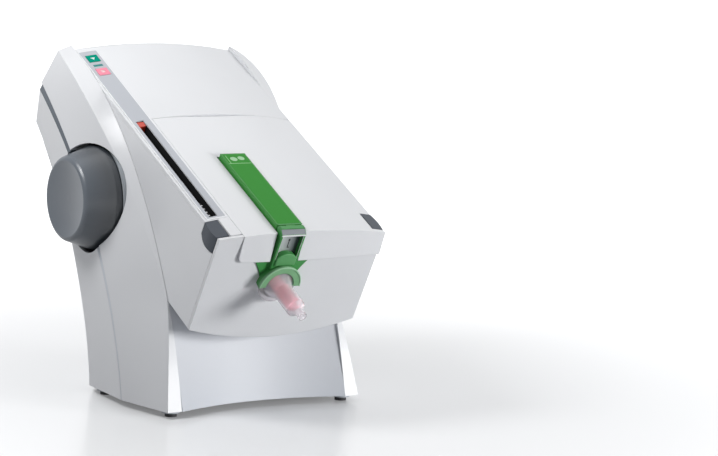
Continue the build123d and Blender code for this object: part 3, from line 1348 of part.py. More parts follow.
rocker_room = (rocker_width / 2 + shut_gap, rocker_height / 2)
rocker_y = face_y - rocker_sink
well_box = world_box(
    (rocker_x - rocker_room[0], rocker_x + rocker_room[0]),
    (rocker_y - rocker_well_depth, face_y),
    (module_z - rocker_room[1], module_z + rocker_room[1]),
)
pivot_half = rocker_room[0] + rocker_pivot_hold
pivot_spot = Pos(rocker_x, rocker_y, module_z)
pivot_hole = pivot_spot * Rot(0, 90, 0) * Cylinder(rocker_pivot_radius + running_fit, 2 * pivot_half)
keep("mains_inlet", block + module_flange - cavity - well_box + pins - pivot_hole)
rocker_spots = [(-rocker_width / 2, y, z) for y, z in rocker_side]
rocker = Solid.extrude(Face(Polyline(*rocker_spots, close=True).wires()[0]), Vector(rocker_width, 0, 0))
rocker = rocker + Rot(0, 90, 0) * Cylinder(rocker_pivot_radius, 2 * pivot_half)
keep("rocker_switch", pivot_spot * Rot(-rocker_tilt, 0, 0) * rocker)

# Origin: the middle of the whole box, on the floor
whole = Compound(list(parts.values())).bounding_box()
origin = Vector((whole.min.X + whole.max.X) / 2, (whole.min.Y + whole.max.Y) / 2, whole.min.Z)
for name, shape in parts.items():
    placed = Pos(-origin.X, -origin.Y, -origin.Z) * shape
    export_step(placed, f"parts/{name}.step")
print(len(parts), "nodes", whole.size, origin)
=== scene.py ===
import math

import bmesh
import bpy
from mathutils import Matrix, Vector


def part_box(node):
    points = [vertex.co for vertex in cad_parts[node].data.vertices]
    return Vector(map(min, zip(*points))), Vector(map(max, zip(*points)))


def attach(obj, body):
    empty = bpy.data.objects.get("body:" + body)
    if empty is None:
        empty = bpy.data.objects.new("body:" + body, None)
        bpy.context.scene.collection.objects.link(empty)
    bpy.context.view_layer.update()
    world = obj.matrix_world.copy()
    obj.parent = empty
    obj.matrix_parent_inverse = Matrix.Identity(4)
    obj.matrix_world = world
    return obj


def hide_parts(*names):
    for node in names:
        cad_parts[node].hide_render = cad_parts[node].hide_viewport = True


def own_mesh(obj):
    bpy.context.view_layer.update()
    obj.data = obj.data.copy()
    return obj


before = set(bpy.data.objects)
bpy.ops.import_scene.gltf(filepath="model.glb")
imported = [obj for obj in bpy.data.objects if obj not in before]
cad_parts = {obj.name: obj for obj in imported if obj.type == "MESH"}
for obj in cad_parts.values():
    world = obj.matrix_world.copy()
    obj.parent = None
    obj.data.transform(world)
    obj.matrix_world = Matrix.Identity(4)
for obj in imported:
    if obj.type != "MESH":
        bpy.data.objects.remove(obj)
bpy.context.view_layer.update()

# Studio. A white sheet lies under the mixer, and large soft lamps hang over it and beside it.
# The sheet looks white to the camera and keeps the mixer's soft shadow, and its glow is weaker near
# the mixer, a painted shadow round it.


class Wire:
    """An output of a material's nodes, on which plain sums add their Math nodes."""

    def __init__(self, tree, socket):
        self.tree = tree
        self.socket = socket

    def sum(self, operation, *values):
        inputs = dict(enumerate(values))
        return add_node(self.tree, "ShaderNodeMath", {"operation": operation}, inputs)[0]

    def __add__(self, other):
        return self.sum("ADD", self, other)

    __radd__ = __add__

    def __sub__(self, other):
        return self.sum("SUBTRACT", self, other)

    def __rsub__(self, other):
        return self.sum("SUBTRACT", other, self)

    def __mul__(self, other):
        return self.sum("MULTIPLY", self, other)

    __rmul__ = __mul__

    def __truediv__(self, other):
        return self.sum("DIVIDE", self, other)

    def __gt__(self, other):
        return self.sum("GREATER_THAN", self, other)

    def __lt__(self, other):
        return self.sum("LESS_THAN", self, other)

    def __abs__(self):
        return self.sum("ABSOLUTE", self)


def add_node(tree, kind, settings, sockets):
    """Adds one node, with its settings first and its sockets after, and gives its outputs."""
    node = tree.nodes.new(kind)
    for name, value in settings.items():
        if name == "stops":
            ramp = node.color_ramp.elements
            while len(ramp) < len(value):
                ramp.new(1.0)
            for element, (place, shade) in zip(ramp, value):
                element.position = place
                element.color = (*shade, 1.0)
        else:
            setattr(node, name, value)
    for name, value in sockets.items():
        if isinstance(value, Wire):
            tree.links.new(value.socket, node.inputs[name])
        else:
            node.inputs[name].default_value = value
    return [Wire(tree, output) for output in node.outputs]


def mix(tree, amount, color_a, color_b):
    """Goes from one colour to the other as the amount goes from 0 to 1."""
    sides = [(*c, 1.0) if isinstance(c, tuple) else c for c in (color_a, color_b)]
    # The node's colours are its inputs 6 and 7 and its output 2.
    sockets = {0: amount, 6: sides[0], 7: sides[1]}
    return add_node(tree, "ShaderNodeMix", {"data_type": "RGBA"}, sockets)[2]


def piece_place(tree):
    """Where a point of a piece lies, in metres."""
    return add_node(tree, "ShaderNodeTexCoord", {}, {})[3]


def split(tree, spot):
    """A place's x, y and z."""
    return add_node(tree, "ShaderNodeSeparateXYZ", {}, {0: spot})


def new_material(name):
    """An empty node material."""
    material = bpy.data.materials.new(name)
    material.use_nodes = True
    material.node_tree.nodes.clear()
    return material


def close_material(material, shader):
    """Joins the last shader to the material's output."""
    add_node(material.node_tree, "ShaderNodeOutputMaterial", {}, {"Surface": shader})
    return material


def floor_sheet():
    """A soft white plastic, whiter to the camera the farther from the mixer; near it, a painted
    shadow.
    """
    material = new_material("white_sheet")
    tree = material.node_tree
    rays = add_node(tree, "ShaderNodeLightPath", {}, {})
    camera_ray, glossy_ray = rays[0], rays[3]
    seen = camera_ray.sum("MAXIMUM", camera_ray, glossy_ray)
    spot = piece_place(tree)
    away = add_node(tree, "ShaderNodeVectorMath", {"operation": "LENGTH"}, {0: spot})[1]
    # The glow is weaker near the mixer, and that dimmer ring is a painted shadow.
    glow_outside_painted_shadow = add_node(tree, "ShaderNodeMapRange", {"interpolation_type": "SMOOTHSTEP"}, {
        "Value": away, "From Min": 0.1, "From Max": 1.2, "To Min": 0.14, "To Max": 0.75,
    })[0]
    sheet = add_node(tree, "ShaderNodeBsdfPrincipled", {}, {
        "Base Color": mix(tree, seen, (0.32, 0.33, 0.35), (0.86, 0.87, 0.88)),
        "Roughness": 0.22, "Specular IOR Level": 0.5, "Emission Strength": 1.0,
        "Emission Color": mix(tree, seen * glow_outside_painted_shadow, (0.0, 0.0, 0.0), (1.0, 1.0, 1.0)),
    })
    return close_material(material, sheet[0])


def new_object(name, mesh, material):
    """A mesh object at the origin, with its one material."""
    thing = bpy.data.objects.new(name, mesh)
    bpy.context.scene.collection.objects.link(thing)
    mesh.materials.append(material)
    return thing


floor_half = 12.0
floor_mesh = bpy.data.meshes.new("floor")
shape = bmesh.new()
bmesh.ops.create_grid(shape, x_segments=1, y_segments=1, size=floor_half)
shape.to_mesh(floor_mesh)
shape.free()
new_object("floor", floor_mesh, floor_sheet())

world = bpy.data.worlds.new("studio_air")
world.use_nodes = True
world.node_tree.nodes.clear()
rays = add_node(world.node_tree, "ShaderNodeLightPath", {}, {})
camera_ray, glossy_ray, clear_ray = rays[0], rays[3], rays[6]
shown = camera_ray.sum("MAXIMUM", camera_ray.sum("MAXIMUM", camera_ray, glossy_ray), clear_ray)
air_light = 0.22
air = add_node(world.node_tree, "ShaderNodeBackground", {}, {
    "Color": (0.97, 0.98, 1.0, 1.0), "Strength": shown * (1.0 - air_light) + air_light,
})
add_node(world.node_tree, "ShaderNodeOutputWorld", {}, {"Surface": air[0]})
bpy.context.scene.world = world


def soft_lamp(name, place, target, size, power):
    """A square soft lamp that looks at one point."""
    light = bpy.data.lights.new(name, "AREA")
    light.shape = "RECTANGLE"
    light.size = light.size_y = size
    light.energy = power
    lamp = bpy.data.objects.new(name, light)
    lamp.location = place
    lamp.rotation_euler = (Vector(target) - Vector(place)).to_track_quat("-Z", "Y").to_euler()
    bpy.context.scene.collection.objects.link(lamp)


middle = (0.0, 0.0, 0.16)
soft_lamp("lamp_above", (0.5, 0.3, 1.7), middle, 1.5, 4.1)
soft_lamp("lamp_right", (1.3, -1.95, 0.25), middle, 0.8, 46.0)
soft_lamp("lamp_left", (-0.5, 0.05, 0.74), (-0.12, 0.0, 0.36), 0.3, 3.3)

camera_azimuth = math.radians(-35.05)
camera_elevation = math.radians(7.02)
camera_roll = math.radians(2.12)
camera_place = Vector((-1.16655, -1.90628, 0.4368))
focal_pixels = 2409.0
picture_width = 718.0
back = Vector((
    math.sin(camera_azimuth) * math.cos(camera_elevation),
    -math.cos(camera_azimuth) * math.cos(camera_elevation),
    math.sin(camera_elevation),
))
level_right = Vector((0, 0, 1)).cross(back).normalized()
level_up = back.cross(level_right)
right = level_right * math.cos(camera_roll) + level_up * math.sin(camera_roll)
up = level_up * math.cos(camera_roll) - level_right * math.sin(camera_roll)
lens = bpy.data.cameras.new("camera")
lens.sensor_width = 36.0
lens.lens = focal_pixels / picture_width * lens.sensor_width
camera = bpy.data.objects.new("camera", lens)
camera_turn = Matrix((right, up, back)).transposed().to_4x4()
camera.matrix_world = Matrix.Translation(camera_place) @ camera_turn
bpy.context.scene.collection.objects.link(camera)
bpy.context.scene.camera = camera
bpy.context.scene.view_settings.view_transform = "Standard"

# Housing. Satin white mouldings: side shells and wings, the sloping top cover, the snout with its
# bowed front panel, the rear cover and the hollow front of the base. They snap and screw together.
polish_spread = 0.05


def even_tone(tree, spot, color, spread=0.03, size=14.0):
    """A colour with a faint uneven cast, as a moulding has, and the cloud behind it."""
    sockets = {"Vector": spot, "Scale": size, "Detail": 1.0}
    cloud = add_node(tree, "ShaderNodeTexNoise", {}, sockets)[0]
    darker = tuple((1 - spread) * c for c in color)
    lighter = tuple(min(1.0, (1 + spread) * c) for c in color)
    return mix(tree, cloud, darker, lighter), cloud


def soft_edges(tree, spot, edge, grain, grain_size):
    """Softly broken edges under a fine moulded grain."""
    sockets = {"Vector": spot, "Scale": 1 / grain_size, "Detail": 2.0}
    grains = add_node(tree, "ShaderNodeTexNoise", {}, sockets)[0]
    softened = add_node(tree, "ShaderNodeBevel", {"samples": 4}, {"Radius": edge})[0]
    return add_node(tree, "ShaderNodeBump", {}, {
        "Strength": grain, "Distance": 0.0003, "Height": grains, "Normal": softened,
    })[0]


def plastic(
    name, color, roughness=0.34, grain=0.03, grain_size=0.0009, coat=0.0, edge=0.0006, gloss=0.5,
    paint=None,
):
    """Moulded plastic: an even colour, or the one that paint gives, a fine grain and soft edges."""
    material = new_material(name)
    tree = material.node_tree
    spot = piece_place(tree)
    shade, cloud = even_tone(tree, spot, color)
    if paint:
        shade = paint(tree, spot, shade)
    body = add_node(tree, "ShaderNodeBsdfPrincipled", {}, {
        "Base Color": shade, "Roughness": cloud * polish_spread + (roughness - polish_spread / 2),
        "Normal": soft_edges(tree, spot, edge, grain, grain_size),
        "Coat Weight": coat, "Coat Roughness": 0.12, "Specular IOR Level": gloss,
    })
    return close_material(material, body[0])


def dress(material, *names):
    """Gives CAD nodes one material."""
    for name in names:
        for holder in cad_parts[name].material_slots:
            holder.material = material


housing_white = plastic("housing_white", (0.76, 0.77, 0.79), 0.36, coat=0.08)
dress(housing_white, "side_shell_left", "side_shell_right", "rear_wing_left", "rear_wing_right")
dress(housing_white, "top_cover", "snout_shell", "front_panel", "rear_cover")
hollow_top = 0.09


def hollow_painted_shade(tree, spot, shade):
    """Painted shade: slightly greyer towards the foot of the base's hollow front."""
    height = split(tree, spot)[2]
    return mix(tree, 1.0 - height / hollow_top, shade, (0.6, 0.63, 0.68))


# The base's hollow front has painted shade towards its foot.
base_white = plastic("base_white", (0.74, 0.75, 0.78), 0.4, paint=hollow_painted_shade)
dress(base_white, "base_front_panel")

# Side trims. Long grey inlays run down each side between the shell and its rear wing, and clip into
# the seam. They are dark grey above the hand wheel; below it they are painted pale, a painted
# highlight along the ridge.
trim_top = 0.3
trim_cast = 0.12
trim_dark = (0.115, 0.135, 0.16)
# Below the wheel the stops are pale, a painted highlight along the ridge.
trim_highlight_stops = [
    (0.0, (0.78, 0.8, 0.84)), (0.42, (0.74, 0.77, 0.82)), (0.56, (0.3, 0.34, 0.4)),
    (0.66, trim_dark),
]


def trim_tone_and_painted_highlight(tree, spot, shade):
    """Dark grey above the wheel; below it pale, a painted highlight along the ridge."""
    height = split(tree, spot)[2]
    fade = add_node(tree, "ShaderNodeValToRGB", {"stops": trim_highlight_stops}, {0: height / trim_top})[0]
    return mix(tree, trim_cast, fade, shade)


dress(plastic("trim_grey", trim_dark, 0.3, paint=trim_tone_and_painted_highlight), "side_trims")

# Base. A grey band and a flat plate close the bottom, and round bosses with dark rubber pads carry
# the mixer. The bosses are moulded with the plate, and the pads are pressed in.
dress(plastic("band_grey", (0.22, 0.25, 0.29), 0.35), "recess_band")
dress(plastic("base_grey", (0.33, 0.35, 0.38), 0.5, grain=0.12), "base_plate")
dress(plastic("boss_grey", (0.5, 0.53, 0.57), 0.4), "foot_bosses")
pad_rubber = plastic("pad_rubber", (0.03, 0.03, 0.033), 0.7, grain=0.3, grain_size=0.0005)
dress(pad_rubber, "foot_pads")

# Lid. One white shell with a skirt lies over the cartridge room, and swings on two steel pins in
# brackets under its rear edge.
dress(plastic("lid_white", (0.77, 0.78, 0.8), 0.34, coat=0.1), "lid")
dress(plastic("bracket_white", (0.66, 0.67, 0.7), 0.4), "hinge_brackets")
lines_per_metre = 900.0
scratch_spread = 0.12
wear_spread = 0.08


def metal(name, color, roughness=0.3, lines=(1.0, 1.0, 12.0)):
    """Worked metal: fine tool lines that run one way and a little unevenness in the polish."""
    material = new_material(name)
    tree = material.node_tree
    spot = piece_place(tree)
    sockets = {"Vector": spot, "Scale": tuple(lines_per_metre / s for s in lines)}
    drawn = add_node(tree, "ShaderNodeMapping", {}, sockets)[0]
    sockets = {"Vector": drawn, "Scale": 1.0, "Detail": 2.0}
    scratch = add_node(tree, "ShaderNodeTexNoise", {}, sockets)[0]
    shade, cloud = even_tone(tree, spot, color, 0.06, 40.0)
    softened = add_node(tree, "ShaderNodeBevel", {"samples": 4}, {"Radius": 0.0003})[0]
    relief = add_node(tree, "ShaderNodeBump", {}, {
        "Strength": 0.12, "Distance": 0.0001, "Height": scratch, "Normal": softened,
    })[0]
    smoothest = roughness - (scratch_spread + wear_spread) / 2
    body = add_node(tree, "ShaderNodeBsdfPrincipled", {}, {
        "Base Color": shade, "Metallic": 1.0, "Normal": relief,
        "Roughness": scratch * scratch_spread + cloud * wear_spread + smoothest,
    })
    return close_material(material, body[0])


dress(metal("pin_steel", (0.6, 0.61, 0.63), 0.25, (12.0, 1.0, 1.0)), "lid_hinge_pins")
dress(metal("screw_steel", (0.5, 0.51, 0.53), 0.35), "housing_screws")

# Control strip. A grey printed film with pale edges lies on the margin beside the lid, round the
# two keys, the status lens and the level slot. It is glued into a shallow bed in the cover.
deck_pitch = math.radians(28.2)
deck_rear = Vector((0.00984928, 0.123124617, 0.3197))
deck_scale = 0.001
strip_x = -75.75
strip_half = 9.75
strip_edge = 0.9
strip_front = 278.0


def deck_places(tree, spot):
    """The flat deck's own x, y and z in millimetres, with the front at -y."""
    flat = add_node(tree, "ShaderNodeMapping", {"vector_type": "TEXTURE"}, {
        "Vector": spot, "Location": tuple(deck_rear), "Rotation": (deck_pitch, 0.0, 0.0),
        "Scale": (deck_scale,) * 3,
    })[0]
    return split(tree, flat)


def strip_print(tree, spot, shade):
    """Pale edges round the grey film."""
    across, along, _ = deck_places(tree, spot)
    sides = abs(across - strip_x) > strip_half - strip_edge
    edges = sides.sum("MAXIMUM", sides, along < -strip_front)
    return mix(tree, edges, shade, (0.84, 0.85, 0.87))


dress(plastic("strip_film", (0.46, 0.48, 0.52), 0.38, paint=strip_print), "control_strip")

# Level slot. A black collar lines the slot in the cover, its black painted shade for the dark
# inside of the slot, and a ledge at its front end carries four light marks. The red pointer of the
# feed slides in it and shows how much material is left.
deck = Matrix.Translation(deck_rear) @ Matrix.Rotation(deck_pitch, 4, "X")
deck = deck @ Matrix.Scale(deck_scale, 4)
crown_radius = 488.0
sharp_angle = math.radians(35.0)


def crown_height(x):
    """How far the crowned surface lies above the deck line at x."""
    return math.sqrt(crown_radius**2 - x**2) - crown_radius


def on_crown(shape):
    """Bends a shape from the flat deck onto its crown."""
    for corner in shape.verts:
        corner.co.z += crown_height(corner.co.x)


def drawn_in(span, inset):
    """A span that is shorter by the same inset at both ends."""
    return span[0] + inset, span[1] - inset


def flat_block(shape, x, f, n):
    """A block on the flat deck, from its limits across, on the way forward f and in height n."""
    center = Vector((x[0] + x[1], -f[0] - f[1], n[0] + n[1])) / 2
    size = Matrix.Diagonal((x[1] - x[0], f[1] - f[0], n[1] - n[0], 1.0))
    bmesh.ops.create_cube(shape, size=1.0, matrix=Matrix.Translation(center) @ size)


def thicken(shape, faces, way):
    """Draws flat faces out into a body."""
    drawn = bmesh.ops.extrude_face_region(shape, geom=faces)["geom"]
    corners = [part for part in drawn if isinstance(part, bmesh.types.BMVert)]
    bmesh.ops.translate(shape, vec=way, verts=corners)


def keep_piece(name, shape, place, material, body, smooth=False):
    """Turns a finished shape into a piece of the mixer that moves with a body."""
    bmesh.ops.recalc_face_normals(shape, faces=shape.faces)
    bmesh.ops.transform(shape, matrix=place, verts=shape.verts)
    mesh = bpy.data.meshes.new(name)
    for face in shape.faces:
        face.smooth = smooth
    shape.to_mesh(mesh)
    shape.free()
    if smooth:
        mesh.set_sharp_from_angle(angle=sharp_angle)
    piece = new_object(name, mesh, material)
    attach(piece, body)
    return piece


# Black plastic for the ledge and the arrow; the slot's collar is black as painted shade.
black_plastic_and_slot_shade = plastic("black_plastic_and_slot_shade", (0.012, 0.012, 0.013), 0.6, gloss=0.1)
mark_white = plastic("mark_white", (0.86, 0.87, 0.88), 0.4)
slot_x = -77.5
slot_f = (123.2, 276.0)
collar_width = 7.9
collar_length = slot_f[1] - slot_f[0] - 0.1
collar_wall = 0.2
collar_n = (-8.9, -0.3)
shape = bmesh.new()
bmesh.ops.create_grid(shape, x_segments=1, y_segments=1, size=0.5)
bmesh.ops.scale(shape, vec=(collar_width, collar_length, 1.0), verts=shape.verts)
bmesh.ops.inset_region(shape, faces=shape.faces[:], thickness=collar_wall, use_boundary=True)
inner = min(shape.faces, key=lambda face: face.calc_center_median().length)
bmesh.ops.delete(shape, geom=[inner], context="FACES_ONLY")
thicken(shape, shape.faces[:], (0, 0, collar_n[1] - collar_n[0]))
bmesh.ops.translate(shape, vec=(slot_x, -sum(slot_f) / 2, collar_n[0]), verts=shape.verts)
on_crown(shape)
keep_piece("slot_collar", shape, deck, black_plastic_and_slot_shade, "root")

ledge_x = (slot_x - 3.7, slot_x - 1.4)
ledge_f = (253.0, slot_f[1] - 0.35)
ledge_n = (-1.9, -0.7)
shape = bmesh.new()
flat_block(shape, ledge_x, ledge_f, ledge_n)
on_crown(shape)
keep_piece("slot_ledge", shape, deck, black_plastic_and_slot_shade, "root")
mark_places = (257.0, 262.0, 267.0, 272.0)
mark_length = 0.9
mark_n = (ledge_n[1], ledge_n[1] + 0.2)
mark_inset = 0.1
shape = bmesh.new()
for f in mark_places:
    flat_block(shape, drawn_in(ledge_x, mark_inset), (f, f + mark_length), mark_n)
on_crown(shape)
keep_piece("slot_marks", shape, deck, mark_white, "root")
dress(plastic("pointer_red", (0.55, 0.045, 0.02), 0.35), "level_pointer")

# Keys. A teal start key with a light arrow and a pink stop key with a light square, each moulded
# in two colours, and a teal lens between them. They press on, or sit over, one small board.
key_x = -75.5
key_top = 0.9
sign_radius = 2.7
sign_depth = 0.14
sign_rounding = 0.05


def crown_place(x, f, lift):
    """The place on the crowned deck at x and f, with z square to the surface."""
    turn = Matrix.Rotation(math.asin(x / crown_radius), 4, "Y")
    low = Matrix.Translation((0, -f, -crown_radius))
    return deck @ low @ turn @ Matrix.Translation((0, 0, crown_radius + lift))


def round_off(shape, edges, width, steps):
    """Rounds edges over."""
    bmesh.ops.bevel(
        shape, geom=edges, offset=width, offset_type="OFFSET", segments=steps, profile=0.5,
        affect="EDGES", material=-1,
    )


key_teal = plastic("key_teal", (0.0, 0.29, 0.2), 0.5, edge=0.0009, gloss=0.02)
dress(key_teal, "start_key")
dress(plastic("key_pink", (0.92, 0.3, 0.4), 0.5, edge=0.0009, gloss=0.1), "stop_key")
for name, f, sides, body, slot, tint in (
    ("start_mark", 15.5, 3, "start_key", "key_green", (0.75, 0.9, 0.86)),
    ("stop_mark", 38.5, 4, "stop_key", "key_red", (1.0, 0.62, 0.66)),
):
    shape = bmesh.new()
    bmesh.ops.create_circle(shape, cap_ends=True, segments=sides, radius=sign_radius)
    turn = Matrix.Rotation(math.pi / sides, 3, "Z")
    bmesh.ops.rotate(shape, matrix=turn, verts=shape.verts)
    thicken(shape, shape.faces[:], (0, 0, sign_depth))
    round_off(shape, shape.edges[:], sign_rounding, 2)
    place = crown_place(key_x, f, key_top)
    keep_piece(name, shape, place, plastic(name, tint, 0.35), body, smooth=True)
lens_teal = plastic("lens_teal", (0.0, 0.22, 0.2), 0.3, grain=0.0, coat=0.2, gloss=0.2)
dress(lens_teal, "status_lens")
pad_radius = 0.16


def board_traces(tree, spot, shade):
    """Copper runs under green lacquer, and pale round pads."""
    grid = add_node(tree, "ShaderNodeTexBrick", {}, {
        "Vector": spot, "Scale": 220.0, "Mortar Size": 0.03, "Color1": (0, 0, 0, 1),
        "Color2": (0, 0, 0, 1), "Mortar": (1, 1, 1, 1),
    })[0]
    sockets = {"Vector": spot, "Scale": 260.0, "Randomness": 0.3}
    pads = add_node(tree, "ShaderNodeTexVoronoi", {}, sockets)[0]
    copper = mix(tree, grid, shade, (0.03, 0.28, 0.1))
    return mix(tree, pads < pad_radius, copper, (0.6, 0.58, 0.5))


board_green = plastic("board_green", (0.012, 0.11, 0.04), 0.35, paint=board_traces)
dress(board_green, "key_board", "circuit_board")

# Start buttons. Dark blue-grey pads wrap both front corners and slide on guides behind the panel.
# Both have to be held for a mix to start, so that no hand is near the tip.
button_grey = plastic("button_grey", (0.06, 0.07, 0.087), 0.42, grain=0.08, edge=0.0008, gloss=0.25)
dress(button_grey, "start_button_left", "start_button_right")
dress(plastic("guide_grey", (0.3, 0.31, 0.33), 0.45), "button_guides")

# Hand wheel. A large dished wheel of blue-grey plastic turns in a well in the left side. It winds
# the plungers back when a cartridge is changed. The well's dark colour and the wheel's darker back
# are painted shade.
wheel_low, wheel_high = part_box("hand_wheel")
wheel_darkening = 1.5
well_front = 0.03
well_fade = 0.02


def wheel_painted_shade(tree, spot, shade):
    """Painted shade: darker from the face towards the wheel's back."""
    across = split(tree, spot)[0]
    depth = (across - wheel_low.x) / (wheel_high.x - wheel_low.x)
    return mix(tree, depth * wheel_darkening, shade, (0.028, 0.034, 0.041))


def well_painted_shading(tree, spot, shade):
    """Painted shade: dark behind and above the wheel, paler in front where the well meets the
    shell.
    """
    along = split(tree, spot)[1]
    return mix(tree, (along - wheel_low.y - well_front) / -well_fade, shade, (0.42, 0.45, 0.48))


wheel_grey = plastic(
    "wheel_grey", (0.078, 0.098, 0.124), 0.33, grain=0.1, edge=0.0016, gloss=0.9, paint=wheel_painted_shade,
)
dress(wheel_grey, "hand_wheel")
# The well's dark colour is painted shade.
well_painted_dark = plastic("well_painted_dark", (0.03, 0.035, 0.042), 0.55, gloss=0.2, paint=well_painted_shading)
dress(well_painted_dark, "wheel_well")

# Cartridge. Two violet tubes with a flat manifold hold the foil bags of the two materials. A green
# label cover, clipped onto the tubes, fills the lid's slot above them.
axis_x = -17.0
label_half = 11.6
label_f = (194.6, 304.2)
label_n = (3.5, 3.62)
label_rounding = 1.5
rule_f = 209.0
rule_half = 0.35
side_rule_x = -9.6
side_rule_half = 0.3
side_rule_rear = 196.0
rule_ink = 0.8
round_marks = ((-3.4, 202.0, 3.6, 3.2), (4.8, 201.0, 3.4, 3.0))
round_ink = 0.75


def label_print(tree, spot, shade):
    """A ruled field at the rear of the label, with two pale round marks in it."""
    across, along, _ = deck_places(tree, spot)
    x = across - axis_x
    forward = 0.0 - along
    rule = abs(forward - rule_f) < rule_half
    side_rule = abs(x - side_rule_x) < side_rule_half
    side_rule = side_rule * (forward < rule_f) * (forward > side_rule_rear)
    rounds = 0.0
    for place_x, place_f, half_x, half_f in round_marks:
        share_x = (x - place_x) / half_x
        share_f = (forward - place_f) / half_f
        rounds = (share_x * share_x + share_f * share_f < 1.0) + rounds
    shade = mix(tree, rounds * round_ink, shade, (0.5, 0.75, 0.5))
    return mix(tree, (rule + side_rule) * rule_ink, shade, (0.45, 0.75, 0.42))


dress(plastic("cartridge_violet", (0.105, 0.075, 0.2), 0.36), "cartridge_body")
dress(plastic("spine_green", (0.05, 0.27, 0.05), 0.42, gloss=0.25), "cartridge_spine")
label_green = plastic(
    "label_green", (0.034, 0.25, 0.03), 0.5, grain=0.0, gloss=0.12, paint=label_print,
)
shape = bmesh.new()
flat_block(shape, (axis_x - label_half, axis_x + label_half), label_f, label_n)
half_rise = (label_n[1] - label_n[0]) / 2
upright = [e for e in shape.edges if abs(e.verts[0].co.z - e.verts[1].co.z) > half_rise]
round_off(shape, upright, label_rounding, 4)
keep_piece("spine_label", shape, deck, label_green, "root")

# Locking piece. A green moulding hinges on the label cover and clamps the tip's flange with its
# half ring. Its roof carries a grey strip, and a grey plate with an arrow lies in its window.
lock_x = (-29.7, -4.3)
sheen_start = 317.0
sheen_fade = 2.5


def lock_painted_sheen(tree, spot, shade):
    """A painted sheen: paler green towards the front of the ring."""
    along = deck_places(tree, spot)[1]
    return mix(tree, (0.0 - sheen_start - along) / sheen_fade, shade, (0.2, 0.42, 0.22))


# The lock's green has a painted sheen towards the front of the ring.
lock_green = plastic("lock_green", (0.055, 0.27, 0.07), 0.4, gloss=0.3, paint=lock_painted_sheen)
dress(lock_green, "tip_lock")
roof_rear = (311.7, 3.05)
roof_front = (315.8, -0.6)
roof_length = math.dist(roof_rear, roof_front)
roof_slope = math.atan2(roof_rear[1] - roof_front[1], roof_front[0] - roof_rear[0])
roof_place = deck @ Matrix.Translation((axis_x, -roof_rear[0], roof_rear[1]))
roof_place = roof_place @ Matrix.Rotation(roof_slope, 4, "X")
roof_strip = (24.6, roof_length - 0.5, 0.16)
center = Matrix.Translation((0, -roof_length / 2, roof_strip[2] / 2))
shape = bmesh.new()
bmesh.ops.create_cube(shape, size=1.0, matrix=center @ Matrix.Diagonal((*roof_strip, 1.0)))
lip_grey = plastic("lip_grey", (0.24, 0.26, 0.28), 0.35)
keep_piece("lock_roof_strip", shape, roof_place, lip_grey, "tip_lock")

lip_inset = 0.3
lip_f = (315.3, 316.1)
lip_n = (-2.2, -0.75)
lip_rounding = 0.25
shape = bmesh.new()
flat_block(shape, drawn_in(lock_x, lip_inset), lip_f, lip_n)
round_off(shape, shape.edges[:], lip_rounding, 2)
keep_piece("lock_lip", shape, deck, mark_white, "tip_lock")

window_f = (311.15, 311.5)
window_n = (-26.8, -2.5)
window_inset = 2.0
window_light_x = axis_x - 9.0
window_fade = 16.0


def window_painted_light(tree, spot, shade):
    """Polished grey with painted light and shade, light on the left and dark on the right."""
    share = (deck_places(tree, spot)[0] - window_light_x) / window_fade
    return mix(tree, share, (0.58, 0.62, 0.62), (0.055, 0.075, 0.075))


window_grey = plastic(
    "window_grey", (0.3, 0.32, 0.32), 0.25, grain=0.0, coat=0.3, paint=window_painted_light,
)
shape = bmesh.new()
flat_block(shape, drawn_in(lock_x, window_inset), window_f, window_n)
keep_piece("lock_window", shape, deck, window_grey, "tip_lock")

arrow_left = axis_x
arrow_line = 0.7
arrow_reach = 2.4
arrow_depth = 0.12
arrow_f = (window_f[1], window_f[1] + arrow_depth)
arrow_n = (-16.5, -7.5)
upright_n = (arrow_n[0], arrow_n[1] - 1.6)
foot_n = (arrow_n[0] - arrow_line, arrow_n[0])
head_n = arrow_n[1] - 1.2
head_radius = 1.5
shape = bmesh.new()
flat_block(shape, (arrow_left, arrow_left + arrow_line), arrow_f, upright_n)
flat_block(shape, (arrow_left, arrow_left + arrow_reach), arrow_f, foot_n)
head_place = Matrix.Translation((arrow_left + arrow_line / 2, -window_f[1], head_n))
head = bmesh.ops.create_circle(
    shape, cap_ends=True, segments=3, radius=head_radius,
    matrix=head_place @ Matrix.Rotation(math.pi / 2, 4, "X"),
)["verts"]
thicken(shape, list({face for corner in head for face in corner.link_faces}), (0, -arrow_depth, 0))
keep_piece("lock_arrow", shape, deck, black_plastic_and_slot_shade, "tip_lock")

edge_inset = 1.75
edge_width = 0.3
edge_f = (315.5, 315.95)
edge_n = (-27.2, -2.2)
sill_n = (-27.3, -26.9)
shape = bmesh.new()
for x in (lock_x[0] + edge_inset, lock_x[1] - edge_inset - edge_width):
    flat_block(shape, (x, x + edge_width), edge_f, edge_n)
flat_block(shape, drawn_in(lock_x, edge_inset), edge_f, sill_n)
keep_piece("lock_window_edge", shape, deck, mark_white, "tip_lock")

